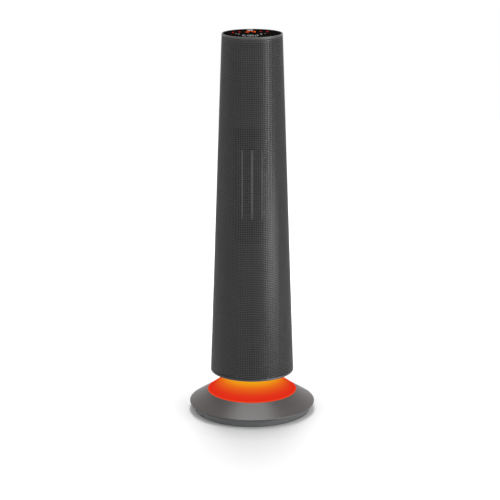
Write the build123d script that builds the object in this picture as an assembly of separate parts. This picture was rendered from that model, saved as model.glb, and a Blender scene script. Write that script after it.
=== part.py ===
from build123d import *
import os
from math import atan2, cos, degrees, hypot, pi, radians, sin, sqrt, tan

# Ceramic tower heater, in millimetres: +Z up, origin on the floor under the tower's axis, front towards -Y

# Overall form
TOTAL_HEIGHT = 750.0
TOWER_TOP_RADIUS = 58.1
TOWER_BOTTOM_RADIUS = 81.7
RIM_RADIUS = 123.7              # widest edge of the dish
RIM_HEIGHT = 16.9               # height of that edge
RIM_ROUND = 1.4
DISH_SLOPE = 32.8               # degrees
GLOW_RADIUS = 88.0              # where the dish meets the light ring
NECK_RADIUS = 40.0              # inner edge of the light ring
NECK_GAP = 10.5                 # from the light ring's top up to the tower's underside

# General fits and fasteners
SLIP_FIT = 0.15                 # between pieces that are slid together and stay
SPIN_FIT = 0.05                 # radial, round a shaft or journal
MOVING_GAP = 1.0                # between a moving piece and what it passes
SCREW_RADIUS = 1.5
SCREW_HEAD_RADIUS = 3.0
SCREW_HEAD_HEIGHT = 2.0
SCREW_HEAD_SINK = 0.3           # head below the face that it is let into
SCREW_LENGTH = 10.0

# Base plate with its foot band
STANDOFF = 1.0                  # rubber feet below the foot band
FLOOR_THICKNESS = 3.5
BAND_TOP_RADIUS = RIM_RADIUS - 4.7
FOOT_RADIUS = BAND_TOP_RADIUS - 5.0
BAND_WALL = 4.0
RIB_COUNT = 12
RIB_THICKNESS = 2.0
RIB_LENGTH = 12.0
RIB_HEIGHT = 6.0
FOOT_PAD_COUNT = 6
FOOT_PAD_RADIUS = 7.0
FOOT_PAD_THICKNESS = 2.5
FOOT_PAD_CIRCLE = FOOT_RADIUS - 18.0

# Dish cover and light ring
COVER_WALL = 2.5
LEDGE_WIDTH = 5.0
BOSS_RADIUS = 4.5
BOSS_CIRCLE = FOOT_RADIUS - 15.0
BASE_SCREW_COUNT = 4
LIGHT_WALL = 2.2
LIGHT_BULGE = 1.2
LIGHT_LIP_HEIGHT = 5.0

# Weight, lamps
BALLAST_INNER_RADIUS = 38.0
BALLAST_OUTER_RADIUS = FOOT_RADIUS - 26.0
BALLAST_THICKNESS = 5.0
LAMP_POST_COUNT = 4
LAMP_POST_RADIUS = 3.5
LAMP_CIRCLE = 62.0
LAMP_BOARD_WIDTH = 22.0
BOARD_THICKNESS = 1.6
LAMP_BOARD_RISE = 30.0          # from the base floor up to the lamp board
LAMP_COUNT = 18
LAMP_SIZE = 5.0
LAMP_HEIGHT = 2.0

# Pivot between base and tower
POST_FLANGE_RADIUS = 34.0
POST_FLANGE_THICKNESS = 4.0
COLUMN_RADIUS = 23.0
COLLAR_THICKNESS = 3.0
JOURNAL_RADIUS = 15.0
WIRE_BORE = 9.0
THRUST_WASHER = 1.0
SLIP_WASHER = 0.5
END_PLAY = 0.1
HUB_LENGTH = 12.0
HUB_WALL = 7.0
SKIRT_RADIUS = 36.0
SKIRT_WALL = 2.5

# Oscillation gears: straight spur teeth
MODULE = 1.5
GEAR_TEETH = 40
PINION_TEETH = 12
PRESSURE_ANGLE = 20.0
BACKLASH = 0.2
GEAR_WIDTH = 6.0
PINION_WIDTH = 5.0
PINION_SHAFT_RADIUS = 3.0
GEAR_SCREW_COUNT = 3
GEAR_SCREW_RADIUS = 1.1
GEAR_SCREW_HEAD = 2.0
GEAR_SCREW_LENGTH = 12.0

# Oscillation motor
DRIVE_MOTOR_RADIUS = 25.0
DRIVE_MOTOR_HEIGHT = 17.0
DRIVE_MOTOR_LIFT = 3.5          # from the gear's top up to the motor
DRIVE_EAR_REACH = 30.0
DRIVE_EAR_RADIUS = 4.0
DRIVE_EAR_THICKNESS = 1.5

# Tip-over switch, sprung down through the floor of the base
TIP_CIRCLE = 74.0
TIP_ANGLE = 205.0               # degrees round from +X
TIP_TRAVEL = 4.0
TIP_FOOT_RADIUS = 3.0
TIP_COLLAR_RADIUS = 4.5
TIP_COLLAR_THICKNESS = 2.0
TIP_STEM_RADIUS = 1.6
TIP_SPRING_LENGTH = 9.0
TIP_SPRING_WIRE = 0.35          # radius
TIP_SPRING_TURNS = 5
TIP_BODY_WIDTH = 15.0
TIP_BODY_ROOF = 3.0
TIP_STEM_REACH = 5.0            # above the spring's top
TIP_FIT = 0.3

# Cord inlet at the back of the foot band
GLAND_BORE = 3.4
GLAND_RADIUS = 4.6
GLAND_FLANGE_RADIUS = 5.2
GLAND_FLANGE = 1.0
GLAND_LENGTH = 9.0
GLAND_RISE = 7.6

# Tower shell
SHEET = 0.8
LIP = 0.8                       # cover of the ring and the bezel over the sheet's edge
EDGE_OVERLAP = 2.0
RING_HEIGHT = 4.2
RING_GAP = 2.2                  # shadow gap between the ring and the sheet
LUG_COUNT = 8                   # lugs on the ring that carry the sheet
LUG_WIDTH = 3.0
LUG_OVERLAP = 3.0
LUG_EDGE = 0.3                  # lug behind the sheet's face
RING_WALL = 3.0
RING_FLANGE_WIDTH = 5.0
RING_FLANGE_THICKNESS = 2.0
TURNTABLE_THICKNESS = 4.0
SLEEVE_GAP = 3.2                # between the sheet and the inner housing
HOUSING_WALL = 2.5
SPINE_HALF_WIDTH = 18.0
SPINE_RIB_HALF_WIDTH = 14.0
SPINE_PROUD = 0.8
SPINE_SCREW_COUNT = 4
SPINE_SCREW_LENGTH = 5.5

# Air outlet in the front housing
OUTLET_BOTTOM = 398.4
OUTLET_HEIGHT = 137.5
OUTLET_HALF_WIDTH = 29.0
FRAME_BORDER = 42.8             # above and below the opening
FRAME_SIDE = 6.0
FRAME_PLATE = 1.2
FRAME_SHADOW_GAP = 0.8
DUCT_WALL = 1.6

# Heater core
CORE_FRONT = 44.0               # distance of its front in front of the axis
CORE_DEPTH = 14.0
CORE_MARGIN = 2.4               # core beyond the opening, above and below
CORE_FRAME_SIDE = 3.0
BAR_COUNT = 3
BAR_PITCH = 19.4
BAR_WIDTH = 3.6
BAR_WALL = 0.6
BAR_SOCKET = 3.0
STONE_LENGTH = 24.0
STONE_GAP = 2.0
BAR_DEPTH = 12.0
FIN_DEPTH = 11.0
FIN_PITCH = 5.6
FIN_SHEET = 0.5
TAB_WIDTH = 6.3
TAB_THICKNESS = 0.8
TAB_LENGTH = 9.0
CUTOUT_RADIUS = 6.5
CUTOUT_HEIGHT = 7.0

# Blower
DECK_THICKNESS = 3.0
DECK_LEDGE = 3.0
MODULE_MARGIN = 18.0            # from the opening to the deck below and the plate above
ROTOR_Y = 10.0
ROTOR_RADIUS = 24.0
ROTOR_END_GAP = 3.0
BLADE_COUNT = 20
BLADE_CHORD = 7.0
BLADE_SHEET = 0.9
BLADE_CAMBER = 1.6
BLADE_TILT = 32.0               # degrees from the radius
DISC_THICKNESS = 2.0
ROTOR_HUB_RADIUS = 8.0
ROTOR_HUB_LENGTH = 10.0
SHAFT_RADIUS = 3.0
BEARING_RADIUS = 8.0
BEARING_LENGTH = 7.0
SCROLL_WALL = 2.0
SCROLL_GAP = 3.0                # from the rotor to the start of the scroll
SCROLL_GROWTH = 7.0             # how much further out it ends
SCROLL_START = 100.0            # degrees round from +X
SCROLL_END = 205.0
SCROLL_STEPS = 9
TONGUE_GAP = 4.0
TONGUE_ANGLE = -25.0
TONGUE_SPAN = 8.0

# Blower motor: a shaded-pole motor hung under the deck
STATOR_HEIGHT = 22.0
STATOR_NEAR = 19.0              # from the shaft to the plain end
STATOR_FAR = 46.0               # from the shaft to the coil's end
STATOR_HALF_DEPTH = 20.0
WINDOW_START = 21.0
COIL_LEG = 8.0
COIL_HALF_LENGTH = 10.0
COIL_THICKNESS = 5.0
ARMATURE_RADIUS = 14.0
ARMATURE_GAP = 0.5
MOTOR_DROP = 13.0               # from the deck down to the stator
MOTOR_BRACKET = 2.0
BRACKET_BOSS_RADIUS = 6.0
BRACKET_BOSS = 6.0
MOTOR_SCREW_X = 14.0
MOTOR_SCREW_Y = 15.5
MOTOR_POST_RADIUS = 3.5
SHAFT_TAIL = 3.0

# Inlet slots in the rear housing
INLET_PITCH = 12.0
INLET_SLOT = 6.0
INLET_MARGIN = 3.0              # from the spine's edge to the first slot
INLET_WIDTH = 22.0

# Top panel
CAP_DROP = 15.0                 # from the top down to the housings' ends
CAP_THICKNESS = 3.0
BEZEL_HEIGHT = 4.2
BEZEL_FACE = 2.2
BEZEL_LEDGE = 3.0
LENS_THICKNESS = 2.0
LENS_DEPTH = 0.4                # lens below the bezel's top
CONTROL_BOARD_RADIUS = 46.0
CONTROL_BOARD_RISE = 3.0
CONTROL_POST_COUNT = 4
CONTROL_POST_RADIUS = 3.0
CONTROL_POST_CIRCLE = 38.0
DISPLAY_WIDTH = 24.0
DISPLAY_DEPTH = 14.0
DISPLAY_GAP = 0.3
DISPLAY_LINE = 10.5             # behind the axis
INDICATOR_PLACES = (-35.0, -23.5, 17.0, 28.5)
INDICATOR_SIZE = 3.0
INDICATOR_LINE = 11.0           # behind the axis
TOUCH_COUNT = 5
TOUCH_RADIUS = 3.5
TOUCH_PITCH = 15.0
TOUCH_LINE = 22.0               # in front of the axis

# Power board, standing in the lower tower
POWER_BOARD_WIDTH = 80.0
POWER_BOARD_HEIGHT = 100.0
POWER_BOARD_Y = 34.0
POWER_BOARD_BOTTOM = 205.0
POWER_POST_INSET = 9.0
RELAY_COUNT = 3
RELAY_WIDTH = 15.0
RELAY_HEIGHT = 19.0
RELAY_DEPTH = 15.0
RELAY_PITCH = 22.0
TERMINAL_WIDTH = 40.0
TERMINAL_HEIGHT = 12.0
TERMINAL_DEPTH = 10.0

# Mains rocker at the back
ROCKER_HEIGHT = 160.0
ROCKER_FLANGE_WIDTH = 24.0
ROCKER_FLANGE_TALL = 32.0
ROCKER_FLANGE = 2.2
ROCKER_BODY_WIDTH = 19.0
ROCKER_BODY_TALL = 28.0
ROCKER_BODY_DEPTH = 17.0
ROCKER_SEAT = 1.2               # flange let into the spine's face
ROCKER_KEY_WIDTH = 14.0
ROCKER_KEY_RADIUS = 11.0
ROCKER_KEY_BACK = 5.0
ROCKER_PIVOT_DEPTH = 4.0        # pivot below the flange's face
ROCKER_PIN_RADIUS = 1.5
ROCKER_GAP = 0.4
ROCKER_THROW = 20.0             # degrees from off to on

# Heights and slopes that follow from the values above
SLOPE = tan(radians(DISH_SLOPE))
SLOPE_COS = cos(radians(DISH_SLOPE))
RIM_TANGENT = (RIM_RADIUS - RIM_ROUND + RIM_ROUND * sin(radians(DISH_SLOPE)), RIM_HEIGHT + RIM_ROUND * SLOPE_COS)


def dish_z(radius):
    """Height of the dish's outer slope, which the light ring carries on."""
    return RIM_TANGENT[1] + (RIM_TANGENT[0] - radius) * SLOPE


FLOOR_TOP = STANDOFF + FLOOR_THICKNESS
BAND_TOP = RIM_HEIGHT - RIM_ROUND
LIGHT_TOP = dish_z(NECK_RADIUS)
COLLAR_TOP = LIGHT_TOP - LIGHT_LIP_HEIGHT
LAMP_BOARD_Z = FLOOR_TOP + LAMP_BOARD_RISE
TOWER_BOTTOM = LIGHT_TOP + NECK_GAP
TURNTABLE_BOTTOM = TOWER_BOTTOM + RING_FLANGE_THICKNESS
TURNTABLE_TOP = TURNTABLE_BOTTOM + TURNTABLE_THICKNESS
HUB_BOTTOM = TURNTABLE_TOP - HUB_LENGTH
POST_SHOULDER = HUB_BOTTOM - THRUST_WASHER
GEAR_BOTTOM = TURNTABLE_TOP + SLIP_WASHER + END_PLAY
GEAR_TOP = GEAR_BOTTOM + GEAR_WIDTH
GEAR_RADIUS = MODULE * GEAR_TEETH / 2
PINION_RADIUS = MODULE * PINION_TEETH / 2
PINION_Y = GEAR_RADIUS + PINION_RADIUS
DRIVE_MOTOR_Z = GEAR_TOP + DRIVE_MOTOR_LIFT
RING_TOP = TOWER_BOTTOM + RING_HEIGHT
SHEET_INSET = LIP + SLIP_FIT
SHEET_BOTTOM = RING_TOP + RING_GAP
BEZEL_BOTTOM = TOTAL_HEIGHT - BEZEL_HEIGHT
SHEET_TOP = BEZEL_BOTTOM + EDGE_OVERLAP
HOUSING_INSET = SHEET_INSET + SHEET + SLEEVE_GAP
HOUSING_TOP = TOTAL_HEIGHT - CAP_DROP
CAP_TOP = HOUSING_TOP + CAP_THICKNESS
OUTLET_TOP = OUTLET_BOTTOM + OUTLET_HEIGHT
DECK_TOP = OUTLET_BOTTOM - MODULE_MARGIN
DECK_BOTTOM = DECK_TOP - DECK_THICKNESS
PLATE_BOTTOM = OUTLET_TOP + MODULE_MARGIN
PLATE_TOP = PLATE_BOTTOM + DECK_THICKNESS
CORE_BOTTOM = OUTLET_BOTTOM - CORE_MARGIN
CORE_TOP = OUTLET_TOP + CORE_MARGIN
ROTOR_BOTTOM = DECK_TOP + ROTOR_END_GAP
ROTOR_TOP = PLATE_BOTTOM - ROTOR_END_GAP
STATOR_TOP = DECK_BOTTOM - MOTOR_DROP
STATOR_BOTTOM = STATOR_TOP - STATOR_HEIGHT
LENS_SEAT = TOTAL_HEIGHT - LENS_DEPTH - LENS_THICKNESS
CONTROL_BOARD_Z = CAP_TOP + CONTROL_BOARD_RISE
BOARD_TOP_Z = CONTROL_BOARD_Z + BOARD_THICKNESS
TIP_COLLAR_Z = FLOOR_TOP + TIP_TRAVEL
TIP_SPRING_Z = TIP_COLLAR_Z + TIP_COLLAR_THICKNESS
TIP_SPRING_TOP = TIP_SPRING_Z + TIP_SPRING_LENGTH
TIP_STEM_TOP = TIP_SPRING_TOP + TIP_STEM_REACH
TIP_BODY_TOP = TIP_STEM_TOP + MOVING_GAP + TIP_BODY_ROOF
TOWER_SLOPE = (TOWER_BOTTOM_RADIUS - TOWER_TOP_RADIUS) / (TOTAL_HEIGHT - TOWER_BOTTOM)
BIG = 2 * TOTAL_HEIGHT          # a cutting block larger than the object


def tower_radius(height, inset=0.0):
    """Radius of the tower's cone at a height, or of a surface inside it."""
    return TOWER_BOTTOM_RADIUS - TOWER_SLOPE * (height - TOWER_BOTTOM) - inset


def turned(points, sweep=360.0):
    """A closed outline of (radius, height) points turned round Z."""
    outline = make_face(Polyline(*[(r, 0, z) for r, z in points], close=True))
    return revolve(outline, Axis.Z, sweep)


def tube(outer, inner, bottom, top):
    """A straight ring or washer round Z."""
    return turned([(inner, bottom), (outer, bottom), (outer, top), (inner, top)])


def rod(radius, bottom, top, x=0.0, y=0.0):
    """An upright cylinder between two heights."""
    return Pos(x, y, (bottom + top) / 2) * Cylinder(radius, top - bottom)


def block(x, y, z):
    """A block between the two values of each axis."""
    size = [high - low for low, high in (x, y, z)]
    return Pos(*[(low + high) / 2 for low, high in (x, y, z)]) * Box(*size)


def conical(bottom, top, outer_inset, inner_inset):
    """A conical wall that follows the tower between two heights."""
    return turned([(tower_radius(bottom, inner_inset), bottom), (tower_radius(bottom, outer_inset), bottom),
                   (tower_radius(top, outer_inset), top), (tower_radius(top, inner_inset), top)])


def conical_disc(bottom, top, inset):
    """A solid disc whose edge follows the tower's cone."""
    return turned([(0, bottom), (tower_radius(bottom, inset), bottom), (tower_radius(top, inset), top), (0, top)])


def around(count, radius, start=0.0):
    """Places on a circle: angle in degrees, x and y."""
    step = 360.0 / count
    return [(start + k * step, radius * cos(radians(start + k * step)), radius * sin(radians(start + k * step)))
            for k in range(count)]


def joined(pieces):
    """Many solids as one group, or fused where they touch."""
    whole = pieces[0]
    for piece in pieces[1:]:
        whole = whole + piece
    return whole


def write(name, shape):
    """Keep one sub-part as its own file."""
    export_step(Compound(children=list(shape.solids())), "parts/" + name + ".step")


# Base: the part that stands on the floor
def base_plate():
    """Floor of the base with its inset foot band, ribs, lamp posts and pockets for the pads."""
    plate = turned([(0, STANDOFF), (FOOT_RADIUS, STANDOFF), (BAND_TOP_RADIUS, BAND_TOP),
                    (BAND_TOP_RADIUS - BAND_WALL, BAND_TOP), (FOOT_RADIUS - BAND_WALL, FLOOR_TOP), (0, FLOOR_TOP)])
    for angle, _, _ in around(RIB_COUNT, 0):
        if angle != 90:
            rib = block((FOOT_RADIUS - BAND_WALL - RIB_LENGTH, FOOT_RADIUS - BAND_WALL / 2),
                        (-RIB_THICKNESS / 2, RIB_THICKNESS / 2), (FLOOR_TOP, FLOOR_TOP + RIB_HEIGHT))
            plate += Rot(0, 0, angle) * rib
    for _, x, y in around(LAMP_POST_COUNT, LAMP_CIRCLE, 45):
        plate += rod(LAMP_POST_RADIUS, FLOOR_TOP, LAMP_BOARD_Z, x, y)
    for _, x, y in around(FOOT_PAD_COUNT, FOOT_PAD_CIRCLE):
        plate -= rod(FOOT_PAD_RADIUS + SLIP_FIT, 0, FOOT_PAD_THICKNESS, x, y)
    for _, x, y in around(BASE_SCREW_COUNT, BOSS_CIRCLE, 45):
        plate -= rod(SCREW_RADIUS + SLIP_FIT, 0, FLOOR_TOP, x, y)
        plate -= rod(SCREW_HEAD_RADIUS + SLIP_FIT, 0, STANDOFF + SCREW_HEAD_HEIGHT, x, y)
    tip_x, tip_y = tip_place()
    plate -= rod(TIP_FOOT_RADIUS + TIP_FIT, 0, FLOOR_TOP, tip_x, tip_y)
    return plate - gland_hole()


def gland_seat():
    """Distance behind the axis of the flat that the gland's collar rests on."""
    slope = (BAND_TOP_RADIUS - FOOT_RADIUS) / (BAND_TOP - STANDOFF)
    return FOOT_RADIUS + slope * (GLAND_RISE - GLAND_FLANGE_RADIUS - STANDOFF)


def gland_hole():
    """Round hole through the back of the foot band, with a flat for the gland's collar."""
    hole = along_y(GLAND_RADIUS + SLIP_FIT, FOOT_RADIUS - 2 * BAND_WALL, RIM_RADIUS, GLAND_RISE)
    return hole + along_y(GLAND_FLANGE_RADIUS + SLIP_FIT, gland_seat(), RIM_RADIUS, GLAND_RISE)


def along_y(radius, start, end, height, x=0.0):
    """A cylinder lying along Y between two places."""
    return Pos(x, (start + end) / 2, height) * Rot(90, 0, 0) * Cylinder(radius, end - start)


def cord_gland():
    """Bush in the back of the foot band, with a collar outside."""
    end = gland_seat() + GLAND_FLANGE
    bush = along_y(GLAND_RADIUS, end - GLAND_LENGTH, end, GLAND_RISE)
    bush += along_y(GLAND_FLANGE_RADIUS, gland_seat(), end, GLAND_RISE)
    return bush - along_y(GLAND_BORE, end - GLAND_LENGTH, end, GLAND_RISE)


def rubber_feet():
    """Pads pressed into pockets under the floor."""
    return joined([rod(FOOT_PAD_RADIUS, 0, FOOT_PAD_THICKNESS, x, y)
                   for _, x, y in around(FOOT_PAD_COUNT, FOOT_PAD_CIRCLE)])


def base_cover():
    """Dish shell: straight slope, rounded rim, a lip on the foot band and a ledge for the light ring."""
    drop = COVER_WALL / SLOPE_COS
    light_drop = LIGHT_WALL / SLOPE_COS
    lip_radius = BAND_TOP_RADIUS - BAND_WALL
    ledge = GLOW_RADIUS - LEDGE_WIDTH
    rim_side = (RIM_RADIUS, RIM_HEIGHT)
    rim_low = (RIM_RADIUS - RIM_ROUND, BAND_TOP)
    points = [rim_low, (lip_radius, BAND_TOP), (lip_radius, dish_z(lip_radius) - drop),
              (ledge, dish_z(ledge) - drop - light_drop), (ledge, dish_z(ledge) - light_drop),
              (GLOW_RADIUS, dish_z(GLOW_RADIUS) - light_drop), (GLOW_RADIUS, dish_z(GLOW_RADIUS)), RIM_TANGENT]
    corners = [(r, 0, z) for r, z in points]
    edges = Polyline(*corners) + ThreePointArc(corners[-1], (rim_side[0], 0, rim_side[1]), corners[0])
    cover = revolve(make_face(edges), Axis.Z, 360)
    for _, x, y in around(BASE_SCREW_COUNT, BOSS_CIRCLE, 45):
        boss_top = dish_z(BOSS_CIRCLE + BOSS_RADIUS) - COVER_WALL / 2
        cover += rod(BOSS_RADIUS, FLOOR_TOP, boss_top, x, y)
        cover -= rod(SCREW_RADIUS, FLOOR_TOP, STANDOFF + SCREW_HEAD_HEIGHT + SCREW_LENGTH, x, y)
    return cover


def base_screws():
    """Pan heads in counterbores, shanks in the cover's bosses."""
    screws = []
    for _, x, y in around(BASE_SCREW_COUNT, BOSS_CIRCLE, 45):
        head_top = STANDOFF + SCREW_HEAD_HEIGHT
        screws.append(rod(SCREW_HEAD_RADIUS, STANDOFF + SLIP_FIT, head_top, x, y)
                      + rod(SCREW_RADIUS, head_top, head_top + SCREW_LENGTH, x, y))
    return joined(screws)


def light_ring():
    """Translucent ring that carries on the dish's slope, slightly domed, with a lip on the post's collar."""
    drop = LIGHT_WALL / SLOPE_COS
    middle = (GLOW_RADIUS + NECK_RADIUS) / 2
    lip = NECK_RADIUS + LIGHT_WALL
    points = [(NECK_RADIUS, LIGHT_TOP), (NECK_RADIUS, COLLAR_TOP), (lip, COLLAR_TOP), (lip, dish_z(lip) - drop),
              (GLOW_RADIUS, dish_z(GLOW_RADIUS) - drop), (GLOW_RADIUS, dish_z(GLOW_RADIUS))]
    corners = [(r, 0, z) for r, z in points]
    dome = ThreePointArc(corners[-1], (middle, 0, dish_z(middle) + LIGHT_BULGE), corners[0])
    return revolve(make_face(Polyline(*corners) + dome), Axis.Z, 360)


def ballast_plate():
    """Steel weight on the floor, with holes for the lamp posts and the tip-over switch."""
    plate = tube(BALLAST_OUTER_RADIUS, BALLAST_INNER_RADIUS, FLOOR_TOP, FLOOR_TOP + BALLAST_THICKNESS)
    for _, x, y in around(LAMP_POST_COUNT, LAMP_CIRCLE, 45):
        plate -= rod(LAMP_POST_RADIUS + SLIP_FIT, 0, FLOOR_TOP + BALLAST_THICKNESS, x, y)
    tip_x, tip_y = tip_place()
    reach = TIP_BODY_WIDTH / 2 + MOVING_GAP
    return plate - Pos(tip_x, tip_y, 0) * Rot(0, 0, TIP_ANGLE) * block((-reach, reach), (-reach, reach), (0, BAND_TOP))


def led_board():
    """Ring board on the lamp posts."""
    half = LAMP_BOARD_WIDTH / 2
    return tube(LAMP_CIRCLE + half, LAMP_CIRCLE - half, LAMP_BOARD_Z, LAMP_BOARD_Z + BOARD_THICKNESS)


def led_chips():
    """Lamps round the board."""
    low = LAMP_BOARD_Z + BOARD_THICKNESS
    half = LAMP_SIZE / 2
    chip = block((LAMP_CIRCLE - half, LAMP_CIRCLE + half), (-half, half), (low, low + LAMP_HEIGHT))
    return joined([Rot(0, 0, angle) * chip for angle, _, _ in around(LAMP_COUNT, LAMP_CIRCLE)])


def pivot_post():
    """Hollow post that the tower turns on, with a collar that holds the light ring's lip."""
    collar = NECK_RADIUS + LIGHT_WALL
    post = turned([(WIRE_BORE, FLOOR_TOP), (POST_FLANGE_RADIUS, FLOOR_TOP),
                   (POST_FLANGE_RADIUS, FLOOR_TOP + POST_FLANGE_THICKNESS),
                   (COLUMN_RADIUS, FLOOR_TOP + POST_FLANGE_THICKNESS), (COLUMN_RADIUS, COLLAR_TOP - COLLAR_THICKNESS),
                   (collar, COLLAR_TOP - COLLAR_THICKNESS), (collar, COLLAR_TOP), (COLUMN_RADIUS, COLLAR_TOP),
                   (COLUMN_RADIUS, POST_SHOULDER), (JOURNAL_RADIUS, POST_SHOULDER), (JOURNAL_RADIUS, GEAR_BOTTOM),
                   (WIRE_BORE, GEAR_BOTTOM)])
    for _, x, y in around(GEAR_SCREW_COUNT, gear_screw_circle()):
        post -= rod(GEAR_SCREW_RADIUS, GEAR_TOP - GEAR_SCREW_LENGTH, GEAR_TOP, x, y)
    return post


def gear_screw_circle():
    """The gear's screws stand in the middle of the journal's wall."""
    return (JOURNAL_RADIUS + WIRE_BORE) / 2


def thrust_washer():
    """Washer between the post's shoulder and the turntable's hub."""
    return tube(COLUMN_RADIUS, JOURNAL_RADIUS + SPIN_FIT, POST_SHOULDER, HUB_BOTTOM)


def gear_outline(teeth, thinning):
    """Outline of a spur gear: each flank is an involute of the base circle, drawn in three chords."""
    pitch = MODULE * teeth / 2
    base = pitch * cos(radians(PRESSURE_ANGLE))
    tip, root = pitch + MODULE, pitch - 1.25 * MODULE
    low = max(base, root)
    half_tooth = (pi * MODULE / 2 - thinning) / 2 / pitch
    at_pitch = tan(radians(PRESSURE_ANGLE)) - radians(PRESSURE_ANGLE)
    flank = []
    for radius in (low, (low + pitch) / 2, (pitch + tip) / 2, tip):
        roll = sqrt((radius / base) ** 2 - 1)
        flank.append((radius, half_tooth + at_pitch - (roll - atan2(roll, 1))))
    flank = ([(root, flank[0][1])] if root < low else []) + flank
    points = []
    for k in range(teeth):
        middle = 2 * pi * k / teeth
        turn = [(r, middle - a) for r, a in flank] + [(r, middle + a) for r, a in reversed(flank)]
        points += [(r * cos(a), r * sin(a)) for r, a in turn]
    return make_face(Polyline(*points, close=True))


def spur_gear(teeth, bottom, width):
    """A spur gear with its first tooth on +X."""
    return extrude(Pos(0, 0, bottom) * gear_outline(teeth, BACKLASH), width, dir=(0, 0, 1))


def oscillation_gear():
    """Gear screwed to the post's top: it drives the swing and holds the tower down."""
    gear = Rot(0, 0, 90) * spur_gear(GEAR_TEETH, GEAR_BOTTOM, GEAR_WIDTH)
    gear -= rod(WIRE_BORE, GEAR_BOTTOM, GEAR_TOP)
    for _, x, y in around(GEAR_SCREW_COUNT, gear_screw_circle()):
        gear -= rod(GEAR_SCREW_RADIUS + SLIP_FIT, GEAR_BOTTOM, GEAR_TOP, x, y)
    return gear


def gear_screws():
    """Screws down through the gear into the post."""
    return joined([rod(GEAR_SCREW_HEAD, GEAR_TOP, GEAR_TOP + SCREW_HEAD_HEIGHT, x, y)
                   + rod(GEAR_SCREW_RADIUS, GEAR_TOP - GEAR_SCREW_LENGTH, GEAR_TOP, x, y)
                   for _, x, y in around(GEAR_SCREW_COUNT, gear_screw_circle())])


# Tip-over switch
def tip_place():
    """Where the plunger stands."""
    return TIP_CIRCLE * cos(radians(TIP_ANGLE)), TIP_CIRCLE * sin(radians(TIP_ANGLE))


def at_tip(shape):
    """A shape made on the Z axis, set on the plunger's axis."""
    return Pos(*tip_place(), 0) * Rot(0, 0, TIP_ANGLE) * shape


def tip_switch_body():
    """Housing round the plunger, with a bore for its collar and spring and a smaller one for its stem."""
    half = TIP_BODY_WIDTH / 2
    body = block((-half, half), (-half, half), (FLOOR_TOP, TIP_BODY_TOP))
    body -= rod(TIP_COLLAR_RADIUS + TIP_FIT, FLOOR_TOP, TIP_SPRING_TOP)
    return at_tip(body - rod(TIP_STEM_RADIUS + TIP_FIT, TIP_SPRING_TOP, TIP_STEM_TOP + MOVING_GAP))


def tip_plunger():
    """Plunger that the floor holds up: foot, collar and stem."""
    return at_tip(rod(TIP_FOOT_RADIUS, 0, TIP_COLLAR_Z) + rod(TIP_COLLAR_RADIUS, TIP_COLLAR_Z, TIP_SPRING_Z)
                  + rod(TIP_STEM_RADIUS, TIP_SPRING_Z, TIP_STEM_TOP))


def plunger_spring():
    """Coil spring between the plunger's collar and the roof of its bore."""
    radius = (TIP_STEM_RADIUS + TIP_COLLAR_RADIUS) / 2
    rise = TIP_SPRING_LENGTH - 2 * TIP_SPRING_WIRE
    path = Helix(rise / TIP_SPRING_TURNS, rise, radius)
    section = Plane(origin=path @ 0, z_dir=path % 0) * RegularPolygon(TIP_SPRING_WIRE, 4)
    coil = Pos(0, 0, TIP_SPRING_Z + TIP_SPRING_WIRE) * sweep(section, path)
    return at_tip(coil)


# Tower: everything that swings on the post
def turntable():
    """Floor of the tower: plate, hub that runs on the post, skirt down to the light ring, and motor stands."""
    edge = tower_radius(TURNTABLE_BOTTOM, RING_WALL) - SLIP_FIT
    plate = tube(edge, JOURNAL_RADIUS + SPIN_FIT, TURNTABLE_BOTTOM, TURNTABLE_TOP)
    plate += tube(JOURNAL_RADIUS + HUB_WALL, JOURNAL_RADIUS + SPIN_FIT, HUB_BOTTOM, TURNTABLE_TOP)
    plate += tube(SKIRT_RADIUS, SKIRT_RADIUS - SKIRT_WALL, LIGHT_TOP + MOVING_GAP, TURNTABLE_TOP)
    for side in (-1, 1):
        plate += rod(DRIVE_EAR_RADIUS, TURNTABLE_TOP, DRIVE_MOTOR_Z, side * DRIVE_EAR_REACH, PINION_Y)
    return plate


def slip_washer():
    """Thin washer between the turntable's hub and the fixed gear."""
    return tube(JOURNAL_RADIUS + HUB_WALL, JOURNAL_RADIUS + SPIN_FIT, TURNTABLE_TOP, TURNTABLE_TOP + SLIP_WASHER)


def bottom_ring():
    """Plain ring that carries the turntable on a flange and, on lugs above a shadow gap, the sleeve."""
    inner = tower_radius(TOWER_BOTTOM, RING_WALL)
    ring = turned([(tower_radius(TOWER_BOTTOM), TOWER_BOTTOM), (tower_radius(RING_TOP), RING_TOP),
                   (inner, RING_TOP), (inner, TURNTABLE_BOTTOM), (inner - RING_FLANGE_WIDTH, TURNTABLE_BOTTOM),
                   (inner - RING_FLANGE_WIDTH, TOWER_BOTTOM)])
    top = SHEET_BOTTOM + LUG_OVERLAP
    lugs = conical(RING_TOP, SHEET_BOTTOM, SHEET_INSET + LUG_EDGE, RING_WALL)
    lugs += conical(SHEET_BOTTOM, top, SHEET_INSET + SHEET + SLIP_FIT, RING_WALL)
    bar = block((0, TOWER_BOTTOM_RADIUS), (-LUG_WIDTH / 2, LUG_WIDTH / 2), (RING_TOP, top))
    bars = joined([Rot(0, 0, angle) * bar for angle, _, _ in around(LUG_COUNT, 0, 180 / LUG_COUNT)])
    return ring + (lugs & bars)


def mesh_sleeve():
    """Perforated sheet rolled to a cone, open at the back where the spine closes it."""
    sheet = conical(SHEET_BOTTOM, SHEET_TOP, SHEET_INSET, SHEET_INSET + SHEET)
    opening = SPINE_RIB_HALF_WIDTH + SLIP_FIT
    return sheet - block((-opening, opening), (0, BIG), (0, BIG))


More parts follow.
